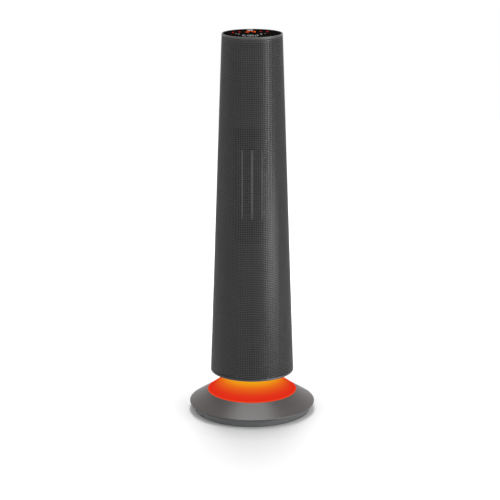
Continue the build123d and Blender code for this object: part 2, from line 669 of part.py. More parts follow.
def rear_spine():
    """Strip up the back: its face laps over the sheet's two edges and its rib stands on the rear housing."""
    face = conical(RING_TOP, BEZEL_BOTTOM, -SPINE_PROUD, SHEET_INSET)
    face &= block((-SPINE_HALF_WIDTH, SPINE_HALF_WIDTH), (0, BIG), (0, BIG))
    rib = conical(SHEET_BOTTOM, HOUSING_TOP, SHEET_INSET, HOUSING_INSET)
    rib &= block((-SPINE_RIB_HALF_WIDTH, SPINE_RIB_HALF_WIDTH), (0, BIG), (0, BIG))
    spine = face + rib - at_rocker(rocker_cutter(SLIP_FIT))
    for height in spine_screw_heights():
        spine -= on_spine(spine_screw_hole(SLIP_FIT), height)
    return spine


def spine_screw_heights():
    """Even places up the spine, clear of the rocker."""
    low, high = ROCKER_HEIGHT + ROCKER_FLANGE_TALL, HOUSING_TOP - 2 * ROCKER_FLANGE_TALL
    return [low + k * (high - low) / (SPINE_SCREW_COUNT - 1) for k in range(SPINE_SCREW_COUNT)]


def on_spine(shape, height):
    """A shape made outward along +Y, set on the spine's face square to its slope."""
    return Pos(0, tower_radius(height, -SPINE_PROUD), height) * Rot(degrees(TOWER_SLOPE), 0, 0) * shape


def spine_screw_hole(clearance):
    """Hole for the shank, with a counterbore that lets the head in."""
    shank = along_y(SCREW_RADIUS + clearance, -SPINE_SCREW_LENGTH, 0, 0)
    return shank + along_y(SCREW_HEAD_RADIUS + SLIP_FIT, -SCREW_HEAD_HEIGHT, SCREW_HEAD_HEIGHT, 0)


def spine_screws():
    """Screws that hold the spine to the rear housing, their heads just below its face."""
    screw = along_y(SCREW_RADIUS, -SPINE_SCREW_LENGTH, -SCREW_HEAD_HEIGHT, 0)
    screw += along_y(SCREW_HEAD_RADIUS, -SCREW_HEAD_HEIGHT, -SCREW_HEAD_SINK, 0)
    return joined([on_spine(screw, height) for height in spine_screw_heights()])


def housing_half(front):
    """Half of the inner housing, with ledges under the blower deck and the bearing plate."""
    shell = conical(TURNTABLE_TOP, HOUSING_TOP, HOUSING_INSET, HOUSING_INSET + HOUSING_WALL)
    for height in (DECK_BOTTOM, PLATE_BOTTOM):
        ledge = HOUSING_INSET + HOUSING_WALL + DECK_LEDGE
        shell += conical(height - DECK_LEDGE, height, HOUSING_INSET + HOUSING_WALL / 2, ledge)
    return shell & block((-BIG, BIG), (-BIG, 0) if front else (0, BIG), (0, BIG))


def front_housing():
    """Front half, with the outlet window and a shallow recess for the outlet frame."""
    low, high = OUTLET_BOTTOM - FRAME_BORDER, OUTLET_TOP + FRAME_BORDER
    recess = conical(low - FRAME_SHADOW_GAP, high + FRAME_SHADOW_GAP, 0, HOUSING_INSET + FRAME_PLATE)
    side = OUTLET_HALF_WIDTH + FRAME_SIDE + FRAME_SHADOW_GAP
    recess &= block((-side, side), (-BIG, 0), (0, BIG))
    hole = OUTLET_HALF_WIDTH + DUCT_WALL + SLIP_FIT
    reach = DUCT_WALL + SLIP_FIT
    return housing_half(True) - recess - block((-hole, hole), (-BIG, 0), (OUTLET_BOTTOM - reach, OUTLET_TOP + reach))


def outlet_frame():
    """Plate round the outlet, with a duct back to the heater core."""
    low, high = OUTLET_BOTTOM - FRAME_BORDER, OUTLET_TOP + FRAME_BORDER
    side = OUTLET_HALF_WIDTH + FRAME_SIDE
    plate = conical(low, high, HOUSING_INSET, HOUSING_INSET + FRAME_PLATE)
    plate &= block((-side, side), (-BIG, 0), (0, BIG))
    outer = OUTLET_HALF_WIDTH + DUCT_WALL
    duct = conical_disc(low, high, HOUSING_INSET + FRAME_PLATE / 2)
    duct &= block((-outer, outer), (-BIG, -CORE_FRONT), (OUTLET_BOTTOM - DUCT_WALL, OUTLET_TOP + DUCT_WALL))
    opening = block((-OUTLET_HALF_WIDTH, OUTLET_HALF_WIDTH), (-BIG, 0), (OUTLET_BOTTOM, OUTLET_TOP))
    return plate + duct - opening


def rear_housing():
    """Back half, with inlet slots behind the rotor, posts for the power board and a hole for the rocker."""
    half = housing_half(False)
    for x, z in power_posts():
        wall = sqrt(tower_radius(z, HOUSING_INSET + HOUSING_WALL / 2) ** 2 - x ** 2)
        half += along_y(CONTROL_POST_RADIUS, POWER_BOARD_Y + BOARD_THICKNESS, wall, z, x)
    slots = (PLATE_BOTTOM - DECK_TOP) / INLET_PITCH
    for row in range(int(slots)):
        middle = DECK_TOP + (row + 0.5) * (PLATE_BOTTOM - DECK_TOP) / int(slots)
        for side in (-1, 1):
            near, far = SPINE_HALF_WIDTH + INLET_MARGIN, SPINE_HALF_WIDTH + INLET_MARGIN + INLET_WIDTH
            half -= block((near, far) if side > 0 else (-far, -near), (0, BIG),
                          (middle - INLET_SLOT / 2, middle + INLET_SLOT / 2))
    half -= at_rocker(rocker_cutter(SLIP_FIT))
    for height in spine_screw_heights():
        half -= on_spine(along_y(SCREW_RADIUS, -SPINE_SCREW_LENGTH, 0, 0), height)
    return half


def top_cap():
    """Disc on the housings' ends that carries the bezel and, on posts, the control board."""
    cap = conical_disc(HOUSING_TOP, CAP_TOP, HOUSING_INSET)
    for _, x, y in around(CONTROL_POST_COUNT, CONTROL_POST_CIRCLE, 45):
        cap += rod(CONTROL_POST_RADIUS, HOUSING_TOP, CONTROL_BOARD_Z, x, y)
    return cap


def top_bezel():
    """Ring with a lip over the sleeve's edge, a ledge for the lens and a skirt on the cap."""
    opening = tower_radius(TOTAL_HEIGHT, BEZEL_FACE)
    ledge = opening - BEZEL_LEDGE
    behind = SHEET_INSET + SHEET + SLIP_FIT
    groove = SHEET_TOP + SLIP_FIT
    return turned([(tower_radius(BEZEL_BOTTOM), BEZEL_BOTTOM), (tower_radius(TOTAL_HEIGHT), TOTAL_HEIGHT),
                   (opening, TOTAL_HEIGHT), (opening, LENS_SEAT), (ledge, LENS_SEAT), (ledge, CAP_TOP),
                   (tower_radius(CAP_TOP, HOUSING_INSET), CAP_TOP),
                   (tower_radius(BEZEL_BOTTOM, behind), BEZEL_BOTTOM), (tower_radius(groove, behind), groove),
                   (tower_radius(groove, LIP), groove), (tower_radius(BEZEL_BOTTOM, LIP), BEZEL_BOTTOM)])


def control_lens():
    """Round touch panel on the bezel's ledge."""
    return rod(tower_radius(TOTAL_HEIGHT, BEZEL_FACE) - SLIP_FIT, LENS_SEAT, LENS_SEAT + LENS_THICKNESS)


def control_board():
    """Round board on the cap's posts."""
    return rod(CONTROL_BOARD_RADIUS, CONTROL_BOARD_Z, BOARD_TOP_Z)


def display_module():
    """Digit display on the board, just under the lens."""
    near = DISPLAY_LINE - DISPLAY_DEPTH / 2
    return block((-DISPLAY_WIDTH / 2, DISPLAY_WIDTH / 2), (near, near + DISPLAY_DEPTH),
                 (BOARD_TOP_Z, LENS_SEAT - DISPLAY_GAP))


def indicator_leds():
    """Small lamps beside the display."""
    half = INDICATOR_SIZE / 2
    return joined([block((x - half, x + half), (INDICATOR_LINE - half, INDICATOR_LINE + half),
                         (BOARD_TOP_Z, LENS_SEAT - DISPLAY_GAP)) for x in INDICATOR_PLACES])


def touch_springs():
    """Contact springs from the board to the underside of the lens, one to a touch key."""
    first = -(TOUCH_COUNT - 1) / 2 * TOUCH_PITCH
    places = [first + k * TOUCH_PITCH for k in range(TOUCH_COUNT)]
    return joined([Pos(x, -TOUCH_LINE, 0) * tube(TOUCH_RADIUS, TOUCH_RADIUS / 2, BOARD_TOP_Z, LENS_SEAT)
                   for x in places])


# Oscillation drive
def oscillation_motor():
    """Flat geared motor over the pinion, on two ears that rest on the turntable's stands."""
    top = DRIVE_MOTOR_Z + DRIVE_MOTOR_HEIGHT
    motor = rod(DRIVE_MOTOR_RADIUS, DRIVE_MOTOR_Z, top, 0, PINION_Y)
    for side in (-1, 1):
        motor += rod(DRIVE_EAR_RADIUS, DRIVE_MOTOR_Z, DRIVE_MOTOR_Z + DRIVE_EAR_THICKNESS,
                     side * DRIVE_EAR_REACH, PINION_Y)
    motor += block((-DRIVE_EAR_REACH, DRIVE_EAR_REACH),
                   (PINION_Y - DRIVE_EAR_RADIUS, PINION_Y + DRIVE_EAR_RADIUS),
                   (DRIVE_MOTOR_Z, DRIVE_MOTOR_Z + DRIVE_EAR_THICKNESS))
    return motor - rod(PINION_SHAFT_RADIUS + SPIN_FIT, DRIVE_MOTOR_Z, top - DRIVE_EAR_THICKNESS, 0, PINION_Y)


def oscillation_pinion():
    """Pinion and its shaft, in mesh behind the fixed gear."""
    bottom = GEAR_TOP - PINION_WIDTH
    half_tooth = 180.0 / PINION_TEETH
    pinion = Pos(0, PINION_Y, 0) * Rot(0, 0, -90 + half_tooth) * spur_gear(PINION_TEETH, bottom, PINION_WIDTH)
    shaft_top = DRIVE_MOTOR_Z + DRIVE_MOTOR_HEIGHT - 2 * DRIVE_EAR_THICKNESS
    return pinion + rod(PINION_SHAFT_RADIUS, bottom, shaft_top, 0, PINION_Y)


# Heater core
def core_y():
    """Middle of the core's depth."""
    return -CORE_FRONT + CORE_DEPTH / 2


def bar_places():
    """Middles of the heating bars across the opening."""
    return [(k - (BAR_COUNT - 1) / 2) * BAR_PITCH for k in range(BAR_COUNT)]


def core_block(half_width, half_depth, bottom, top, x=0.0):
    """An upright block in the middle of the core's depth."""
    middle = core_y()
    return block((x - half_width, x + half_width), (middle - half_depth, middle + half_depth), (bottom, top))


def heater_frame():
    """Heat-proof frame between deck and bearing plate, with sockets for the bars and slots for their tabs."""
    frame = core_block(OUTLET_HALF_WIDTH + CORE_FRAME_SIDE, CORE_DEPTH / 2, DECK_TOP, PLATE_BOTTOM)
    frame &= conical_disc(DECK_TOP, PLATE_BOTTOM, HOUSING_INSET + HOUSING_WALL + DECK_LEDGE + SLIP_FIT)
    frame -= core_block(OUTLET_HALF_WIDTH, CORE_DEPTH, CORE_BOTTOM, CORE_TOP)
    for x in bar_places():
        frame -= core_block(BAR_WIDTH / 2 + SLIP_FIT, BAR_DEPTH / 2 + SLIP_FIT,
                            CORE_BOTTOM - BAR_SOCKET, CORE_TOP + BAR_SOCKET, x)
        frame -= core_block(TAB_THICKNESS / 2 + TIP_FIT, TAB_WIDTH / 2 + TIP_FIT, CORE_TOP, PLATE_BOTTOM, x)
    return frame


def ptc_bars():
    """Flat aluminium tubes that hold the ceramic stones."""
    low, high = CORE_BOTTOM - BAR_SOCKET, CORE_TOP + BAR_SOCKET
    return joined([core_block(BAR_WIDTH / 2, BAR_DEPTH / 2, low, high, x)
                   - core_block(BAR_WIDTH / 2 - BAR_WALL, BAR_DEPTH / 2 - BAR_WALL, low, high, x)
                   for x in bar_places()])


def ptc_stones():
    """Ceramic stones in a row inside each bar."""
    pitch = STONE_LENGTH + STONE_GAP
    count = int((CORE_TOP - CORE_BOTTOM) / pitch)
    first = (CORE_TOP + CORE_BOTTOM - (count - 1) * pitch) / 2
    stones = []
    for x in bar_places():
        for row in range(count):
            middle = first + row * pitch
            stones.append(core_block(BAR_WIDTH / 2 - BAR_WALL, BAR_DEPTH / 2 - 2 * BAR_WALL,
                                     middle - STONE_LENGTH / 2, middle + STONE_LENGTH / 2, x))
    return joined(stones)


def fin_stack(left, right):
    """One sheet folded to and fro between two bars, all the way up the core."""
    folds = 2 * int((CORE_TOP - CORE_BOTTOM) / FIN_PITCH)
    rise = (CORE_TOP - CORE_BOTTOM) / folds
    half = FIN_SHEET / 2 * hypot(rise, right - left) / rise
    line = [((left + half, right - half)[k % 2], CORE_BOTTOM + k * rise) for k in range(folds + 1)]
    outline = [(x - half, z) for x, z in line] + [(x + half, z) for x, z in reversed(line)]
    face = make_face(Polyline(*[(x, core_y() - FIN_DEPTH / 2, z) for x, z in outline], close=True))
    return extrude(face, FIN_DEPTH, dir=(0, 1, 0))


def heater_fins():
    """A fin stack in each gap between the frame and the bars."""
    edges = [-OUTLET_HALF_WIDTH]
    for x in bar_places():
        edges += [x - BAR_WIDTH / 2, x + BAR_WIDTH / 2]
    edges.append(OUTLET_HALF_WIDTH)
    return joined([fin_stack(left, right) for left, right in zip(edges[::2], edges[1::2])])


def heater_terminals():
    """Flat tabs on the bars' upper ends."""
    low = CORE_TOP + BAR_SOCKET
    return joined([core_block(TAB_THICKNESS / 2, TAB_WIDTH / 2, low, low + TAB_LENGTH, x) for x in bar_places()])


def thermal_cutout():
    """Round thermostat on the back of the frame's lower rail."""
    back = -CORE_FRONT + CORE_DEPTH
    return along_y(CUTOUT_RADIUS, back, back + CUTOUT_HEIGHT, (DECK_TOP + CORE_BOTTOM) / 2)


# Blower
def rotor_point(radius, angle):
    """A point round the rotor's axis, seen from above."""
    return radius * cos(radians(angle)), ROTOR_Y + radius * sin(radians(angle))


def blower_deck():
    """Disc on the lower ledge, with the motor below and the blower above."""
    deck = conical_disc(DECK_BOTTOM, DECK_TOP, HOUSING_INSET + HOUSING_WALL)
    deck -= rod(SHAFT_RADIUS + 2 * MOVING_GAP, DECK_BOTTOM, DECK_TOP, 0, ROTOR_Y)
    for x, y in motor_screw_places():
        deck -= rod(SCREW_RADIUS + SLIP_FIT, DECK_BOTTOM, DECK_TOP, x, y)
    return deck


def bearing_plate():
    """Disc on the upper ledge that closes the blower and holds its bearing."""
    plate = conical_disc(PLATE_BOTTOM, PLATE_TOP, HOUSING_INSET + HOUSING_WALL)
    return plate - rod(BEARING_RADIUS, PLATE_BOTTOM, PLATE_TOP, 0, ROTOR_Y)


def rotor_bearing():
    """Flanged bush in the bearing plate."""
    top = PLATE_BOTTOM + BEARING_LENGTH
    bush = rod(BEARING_RADIUS - SPIN_FIT, PLATE_BOTTOM, top, 0, ROTOR_Y)
    bush += rod(BEARING_RADIUS + SCROLL_WALL, PLATE_TOP, top, 0, ROTOR_Y)
    return bush - rod(SHAFT_RADIUS + SPIN_FIT, PLATE_BOTTOM, top, 0, ROTOR_Y)


def blower_scroll():
    """Rear guide that spirals out from the rotor to the core, and the tongue on the other side."""
    step = (SCROLL_END - SCROLL_START) / SCROLL_STEPS
    start = ROTOR_RADIUS + SCROLL_GAP
    turns = [(start + SCROLL_GROWTH * k / SCROLL_STEPS, SCROLL_START + k * step) for k in range(SCROLL_STEPS + 1)]
    core_back = -CORE_FRONT + CORE_DEPTH
    side = OUTLET_HALF_WIDTH
    inner = [rotor_point(radius, angle) for radius, angle in turns] + [(-side, core_back)]
    outer = [rotor_point(radius + SCROLL_WALL, angle) for radius, angle in turns] + [(-side - SCROLL_WALL, core_back)]
    near = rotor_point(ROTOR_RADIUS + TONGUE_GAP, TONGUE_ANGLE)
    tongue = [(side, core_back), near, rotor_point(ROTOR_RADIUS + TONGUE_GAP, TONGUE_ANGLE + TONGUE_SPAN),
              (side + SCROLL_WALL, near[1]), (side + SCROLL_WALL, core_back)]
    walls = []
    for outline in (inner + outer[::-1], tongue):
        face = make_face(Polyline(*[(x, y, DECK_TOP) for x, y in outline], close=True))
        walls.append(extrude(face, PLATE_BOTTOM - DECK_TOP, dir=(0, 0, 1)))
    return joined(walls)


def blade_outline():
    """One curved blade seen from above, set at a slant to the rotor's radius."""
    half = BLADE_CHORD / 2
    outer = ThreePointArc((-half, 0), (0, BLADE_CAMBER), (half, 0))
    inner = ThreePointArc((half, BLADE_SHEET), (0, BLADE_CAMBER + BLADE_SHEET), (-half, BLADE_SHEET))
    face = make_face(outer + Line(outer @ 1, inner @ 0) + inner + Line(inner @ 1, outer @ 0))
    return Pos(ROTOR_RADIUS - half, 0) * Rot(0, 0, BLADE_TILT) * face


def blower_rotor():
    """Cross-flow rotor: curved blades round two end discs and a middle ring."""
    length = ROTOR_TOP - ROTOR_BOTTOM
    blade = extrude(Pos(0, 0, ROTOR_BOTTOM) * blade_outline(), length, dir=(0, 0, 1))
    rotor = joined([Rot(0, 0, angle) * blade for angle, _, _ in around(BLADE_COUNT, ROTOR_RADIUS)])
    rotor += rod(ROTOR_RADIUS, ROTOR_BOTTOM, ROTOR_BOTTOM + DISC_THICKNESS)
    rotor += rod(ROTOR_RADIUS, ROTOR_TOP - DISC_THICKNESS, ROTOR_TOP)
    rotor += rod(ROTOR_HUB_RADIUS, ROTOR_BOTTOM, ROTOR_BOTTOM + ROTOR_HUB_LENGTH)
    rotor += rod(ROTOR_HUB_RADIUS, ROTOR_TOP - ROTOR_HUB_LENGTH, ROTOR_TOP)
    middle = (ROTOR_BOTTOM + ROTOR_TOP) / 2
    rotor += tube(ROTOR_RADIUS, ROTOR_RADIUS - BLADE_CHORD, middle - DISC_THICKNESS / 2, middle + DISC_THICKNESS / 2)
    rotor -= rod(SHAFT_RADIUS + SPIN_FIT, ROTOR_BOTTOM, ROTOR_BOTTOM + ROTOR_HUB_LENGTH)
    rotor -= rod(SHAFT_RADIUS + SPIN_FIT, ROTOR_TOP - ROTOR_HUB_LENGTH, ROTOR_TOP)
    return Pos(0, ROTOR_Y, 0) * rotor


def rotor_shaft():
    """Motor shaft, from below the motor up into the rotor's lower hub."""
    low = STATOR_BOTTOM - MOTOR_BRACKET - BRACKET_BOSS - SHAFT_TAIL
    return rod(SHAFT_RADIUS, low, ROTOR_BOTTOM + ROTOR_HUB_LENGTH, 0, ROTOR_Y)


def rotor_stub():
    """Short pin from the rotor's upper hub into the bearing."""
    return rod(SHAFT_RADIUS, ROTOR_TOP - ROTOR_HUB_LENGTH, PLATE_BOTTOM + BEARING_LENGTH, 0, ROTOR_Y)


# Blower motor
def motor_screw_places():
    """Four screws round the shaft."""
    return [(x * MOTOR_SCREW_X, ROTOR_Y + y * MOTOR_SCREW_Y) for x in (-1, 1) for y in (-1, 1)]


def motor_plan(near, far, half_depth, bottom, top):
    """A block placed from the shaft: its ends along X and its half depth."""
    return block((near, far), (ROTOR_Y - half_depth, ROTOR_Y + half_depth), (bottom, top))


def motor_stator():
    """Iron frame with a round hole for the armature, a window and a leg for the coil."""
    stator = motor_plan(-STATOR_NEAR, STATOR_FAR, STATOR_HALF_DEPTH, STATOR_BOTTOM, STATOR_TOP)
    stator -= rod(ARMATURE_RADIUS + ARMATURE_GAP, STATOR_BOTTOM, STATOR_TOP, 0, ROTOR_Y)
    stator -= motor_plan(WINDOW_START, STATOR_FAR - COIL_LEG, COIL_HALF_LENGTH + SLIP_FIT, STATOR_BOTTOM, STATOR_TOP)
    for x, y in motor_screw_places():
        stator -= rod(SCREW_RADIUS + SLIP_FIT, STATOR_BOTTOM, STATOR_TOP, x, y)
    return stator


def motor_coil():
    """Winding round the stator's far leg."""
    near = STATOR_FAR - COIL_LEG
    coil = motor_plan(near - COIL_THICKNESS, STATOR_FAR + COIL_THICKNESS, COIL_HALF_LENGTH,
                      STATOR_BOTTOM - COIL_THICKNESS, STATOR_TOP + COIL_THICKNESS)
    return coil - motor_plan(near, STATOR_FAR, COIL_HALF_LENGTH, STATOR_BOTTOM, STATOR_TOP)


def motor_bracket(face, outward):
    """One end bracket: plate on the stator and a bearing boss, outward up (1) or down (-1)."""
    plate_end = face + outward * MOTOR_BRACKET
    boss_end = plate_end + outward * BRACKET_BOSS
    bracket = motor_plan(-STATOR_NEAR, STATOR_NEAR, STATOR_HALF_DEPTH, *sorted((face, plate_end)))
    bracket += rod(BRACKET_BOSS_RADIUS, *sorted((face, boss_end)), 0, ROTOR_Y)
    bracket -= rod(SHAFT_RADIUS + SPIN_FIT, *sorted((face, boss_end)), 0, ROTOR_Y)
    return bracket


def motor_brackets():
    """Both end brackets, the upper one with posts up to the deck."""
    upper = motor_bracket(STATOR_TOP, 1)
    for x, y in motor_screw_places():
        upper += rod(MOTOR_POST_RADIUS, STATOR_TOP, DECK_BOTTOM, x, y)
    both = [upper, motor_bracket(STATOR_BOTTOM, -1)]
    for x, y in motor_screw_places():
        hole = rod(SCREW_RADIUS + SLIP_FIT, STATOR_BOTTOM - MOTOR_BRACKET, DECK_BOTTOM, x, y)
        both = [piece - hole for piece in both]
    return joined(both)


def motor_screws():
    """Long screws up through the motor into the deck."""
    low = STATOR_BOTTOM - MOTOR_BRACKET
    return joined([rod(SCREW_HEAD_RADIUS, low - SCREW_HEAD_HEIGHT, low, x, y) + rod(SCREW_RADIUS, low, DECK_TOP, x, y)
                   for x, y in motor_screw_places()])


def motor_armature():
    """Iron rotor of the motor, on the shaft."""
    low, high = STATOR_BOTTOM + MOVING_GAP, STATOR_TOP - MOVING_GAP
    return rod(ARMATURE_RADIUS, low, high, 0, ROTOR_Y) - rod(SHAFT_RADIUS + SPIN_FIT, low, high, 0, ROTOR_Y)


# Power board
def power_posts():
    """Places of the board's four posts: x and height."""
    reach = POWER_BOARD_WIDTH / 2 - POWER_POST_INSET
    heights = (POWER_BOARD_BOTTOM + POWER_POST_INSET, POWER_BOARD_BOTTOM + POWER_BOARD_HEIGHT - POWER_POST_INSET)
    return [(side * reach, height) for side in (-1, 1) for height in heights]


def on_power_board(x, width, low, tall, depth):
    """A part on the front face of the board: middle and width across, lower edge, height and depth."""
    bottom = POWER_BOARD_BOTTOM + low
    return block((x - width / 2, x + width / 2), (POWER_BOARD_Y - depth, POWER_BOARD_Y), (bottom, bottom + tall))


def power_board():
    """Upright board on the rear housing's posts."""
    half = POWER_BOARD_WIDTH / 2
    return block((-half, half), (POWER_BOARD_Y, POWER_BOARD_Y + BOARD_THICKNESS),
                 (POWER_BOARD_BOTTOM, POWER_BOARD_BOTTOM + POWER_BOARD_HEIGHT))


def relays():
    """Relays that switch the heater bars and the swing motor."""
    low = (POWER_BOARD_HEIGHT - RELAY_HEIGHT) / 2
    return joined([on_power_board((k - (RELAY_COUNT - 1) / 2) * RELAY_PITCH, RELAY_WIDTH, low, RELAY_HEIGHT,
                                  RELAY_DEPTH) for k in range(RELAY_COUNT)])


def terminal_block():
    """Screw terminals at the board's lower edge."""
    return on_power_board(0, TERMINAL_WIDTH, POWER_POST_INSET, TERMINAL_HEIGHT, TERMINAL_DEPTH)


# Mains rocker: made round its own origin on the spine's face, outward along +Y
def at_rocker(shape):
    """Set a shape of the rocker on the spine."""
    return on_spine(shape, ROCKER_HEIGHT)


def centred(width, y, tall):
    """A block across the rocker's middle, between two depths."""
    return block((-width / 2, width / 2), y, (-tall / 2, tall / 2))


def rocker_cutter(clearance):
    """Seat for the flange and a hole for the body."""
    seat = centred(ROCKER_FLANGE_WIDTH + 2 * clearance, (-ROCKER_SEAT, ROCKER_FLANGE),
                   ROCKER_FLANGE_TALL + 2 * clearance)
    return seat + centred(ROCKER_BODY_WIDTH + 2 * clearance, (-ROCKER_BODY_DEPTH - ROCKER_SEAT, 0),
                          ROCKER_BODY_TALL + 2 * clearance)


def rocker_pivot():
    """Depth of the key's pivot."""
    return ROCKER_FLANGE - ROCKER_SEAT - ROCKER_PIVOT_DEPTH


def rocker_housing():
    """Switch housing: flange, body and a pocket with pivot holes for the key."""
    face = ROCKER_FLANGE - ROCKER_SEAT
    shape = centred(ROCKER_FLANGE_WIDTH, (-ROCKER_SEAT, face), ROCKER_FLANGE_TALL)
    shape += centred(ROCKER_BODY_WIDTH, (-ROCKER_BODY_DEPTH - ROCKER_SEAT, 0), ROCKER_BODY_TALL)
    reach = ROCKER_KEY_RADIUS + ROCKER_GAP
    shape -= centred(ROCKER_KEY_WIDTH + 2 * ROCKER_GAP, (rocker_pivot() - reach, face), 2 * reach)
    pin = Pos(0, rocker_pivot(), 0) * Rot(0, 90, 0) * Cylinder(ROCKER_PIN_RADIUS + SPIN_FIT, pin_length() + SLIP_FIT)
    return at_rocker(shape - pin)


def pin_length():
    """The key's pivot pin reaches halfway through the housing's side walls."""
    return (ROCKER_KEY_WIDTH + ROCKER_BODY_WIDTH) / 2


def rocker_key():
    """Key with two faces that dip to the middle, pivot pins and a flat back, at rest in the off position."""
    tilt = ROCKER_THROW / 2
    key = Rot(0, 90, 0) * Cylinder(ROCKER_KEY_RADIUS, ROCKER_KEY_WIDTH)
    wide = 2 * ROCKER_KEY_WIDTH
    for side in (-1, 1):
        above = block((-wide, wide), (0, wide), sorted((0, side * wide)))
        key -= Pos(0, ROCKER_PIVOT_DEPTH, 0) * Rot(-side * tilt, 0, 0) * above
    key &= block((-wide, wide), (-ROCKER_KEY_BACK, wide), (-wide, wide))
    key += Rot(0, 90, 0) * Cylinder(ROCKER_PIN_RADIUS, pin_length())
    return at_rocker(Pos(0, rocker_pivot(), 0) * Rot(-tilt, 0, 0) * key)


def rocker_terminals():
    """Spade tabs on the back of the switch."""
    back = -ROCKER_BODY_DEPTH - ROCKER_SEAT
    tab = block((-TAB_WIDTH / 2, TAB_WIDTH / 2), (back - TAB_LENGTH, back), (-TAB_THICKNESS / 2, TAB_THICKNESS / 2))
    offset = ROCKER_BODY_TALL / 4
    return at_rocker(joined([Pos(0, 0, side * offset) * tab for side in (-1, 1)]))


BASE = (base_plate, base_cover, rubber_feet, base_screws, ballast_plate, light_ring, led_board, led_chips,
        pivot_post, thrust_washer, oscillation_gear, gear_screws, tip_switch_body, plunger_spring, cord_gland)
TOWER = (turntable, slip_washer, bottom_ring, mesh_sleeve, rear_spine, spine_screws, front_housing, rear_housing,
         outlet_frame, heater_frame, ptc_bars, ptc_stones, heater_fins, heater_terminals, thermal_cutout,
         blower_deck, bearing_plate, rotor_bearing, blower_scroll, motor_stator, motor_coil, motor_brackets,
         motor_screws, top_cap, top_bezel, control_lens, control_board, display_module, indicator_leds,
         touch_springs, power_board, relays, terminal_block, oscillation_motor, rocker_housing, rocker_terminals)
MOVING = (tip_plunger, oscillation_pinion, blower_rotor, rotor_shaft, rotor_stub, motor_armature, rocker_key)

os.makedirs("parts", exist_ok=True)
for make in BASE + TOWER + MOVING:
    write(make.__name__, make())
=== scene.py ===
"""Looks of a ceramic tower heater: a perforated sleeve, a glowing dish base and a gloss touch panel, dressed
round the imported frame. Lengths are in metres unless a docstring says mm. The front faces -Y, and the origin
is on the floor, on the tower's axis."""

import logging
from dataclasses import dataclass, field
from enum import Enum, IntEnum
from math import atan, cos, pi, radians, sin

import bpy
import numpy as np
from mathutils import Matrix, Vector


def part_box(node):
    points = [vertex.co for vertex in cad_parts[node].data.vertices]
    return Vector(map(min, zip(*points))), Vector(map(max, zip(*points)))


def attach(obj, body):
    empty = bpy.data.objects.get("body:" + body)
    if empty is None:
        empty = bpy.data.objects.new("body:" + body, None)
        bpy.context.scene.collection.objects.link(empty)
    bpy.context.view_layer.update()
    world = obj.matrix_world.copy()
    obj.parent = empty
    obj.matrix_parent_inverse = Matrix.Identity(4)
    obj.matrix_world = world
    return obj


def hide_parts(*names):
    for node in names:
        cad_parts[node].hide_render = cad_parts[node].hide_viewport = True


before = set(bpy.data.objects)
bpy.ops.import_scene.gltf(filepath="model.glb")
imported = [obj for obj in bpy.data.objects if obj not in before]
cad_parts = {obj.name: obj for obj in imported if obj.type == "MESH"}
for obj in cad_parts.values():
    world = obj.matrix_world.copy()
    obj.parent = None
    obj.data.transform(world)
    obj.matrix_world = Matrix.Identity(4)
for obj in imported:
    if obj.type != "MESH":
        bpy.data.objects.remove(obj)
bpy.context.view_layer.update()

logging.basicConfig(level=logging.INFO, format="%(levelname)s %(message)s")
log = logging.getLogger("tower_heater")

Array = np.ndarray
Mesh = tuple[Array, Array]
Colour = tuple[float, float, float, float]

MM = 0.001
WHITE: Colour = (1.0, 1.0, 1.0, 1.0)
# The body that every new piece rides on
TOWER = "tower"
# Size of the patches in which a colour drifts
PATCH_MM = 60.0
# Vertices this near in height are on one edge
LEVEL_MM = 0.01
# Octaves of the noise in the bump and in the patches
GRAIN_DETAIL, PATCH_DETAIL = 3.0, 2.0
BUMP_STRENGTH = 0.6
# Sockets of a Mix node that is set to colour: its two colours and its result
MIX_FROM, MIX_TO, MIX_RESULT = 6, 7, 2
# A closed ring of marks stops just short of a full turn, so that its ends don't lie on each other
FULL_TURN = 359.9
CURVE_POINTS = 25


class Slot(Enum):
    """Names of material slots, listed beside the panel's new pieces; the pieces take their finishes from the
    Finish constants, not from these.
    """
    SLEEVE = "sleeve"
    DISPLAY = "display"
    LAMP = "lamp"
    LENS = "lens"


class Side(IntEnum):
    """The sides of a grid cell. Each runs from the corner of the same number to the next corner."""
    BELOW = 0
    RIGHT = 1
    ABOVE = 2
    LEFT = 3


def round_profile(name: str) -> tuple[Array, Array]:
    """Where the vertices of a round node of the frame are.

    Args:
        name: the node's name.
    Returns:
        Each vertex's distance from the tower's axis, and its height, in mm.
    """
    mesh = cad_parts[name].data
    points = np.empty(3 * len(mesh.vertices), dtype=np.float32)
    mesh.vertices.foreach_get("co", points)
    x, y, height = points.reshape(-1, 3).astype(float).T / MM
    return np.hypot(x, y), height


def linear(code: str) -> Colour:
    """An sRGB hex value as a linear colour.

    Args:
        code: six hex digits, such as "7d7878".
    Returns:
        Red, green, blue and an alpha of 1.
    """
    parts = [int(code[k:k + 2], 16) / 255 for k in (0, 2, 4)]
    return (*[c / 12.92 if c <= 0.04045 else ((c + 0.055) / 1.055) ** 2.4 for c in parts], 1.0)


def add(tree: bpy.types.NodeTree, kind: str, links: dict | None = None, **settings: object) -> bpy.types.Node:
    """Add a shader node.

    Args:
        tree: the node tree that gets it.
        kind: the node's type name.
        links: input name or number to the output socket that feeds it.
        settings: properties of the node, or values of its inputs with spaces written as underscores.
    Returns:
        The new node.
    """
    node = tree.nodes.new(kind)
    for name, value in settings.items():
        if hasattr(node, name):
            setattr(node, name, value)
        else:
            node.inputs[name.replace("_", " ")].default_value = value
    for name, socket in (links or {}).items():
        tree.links.new(socket, node.inputs[name])
    return node


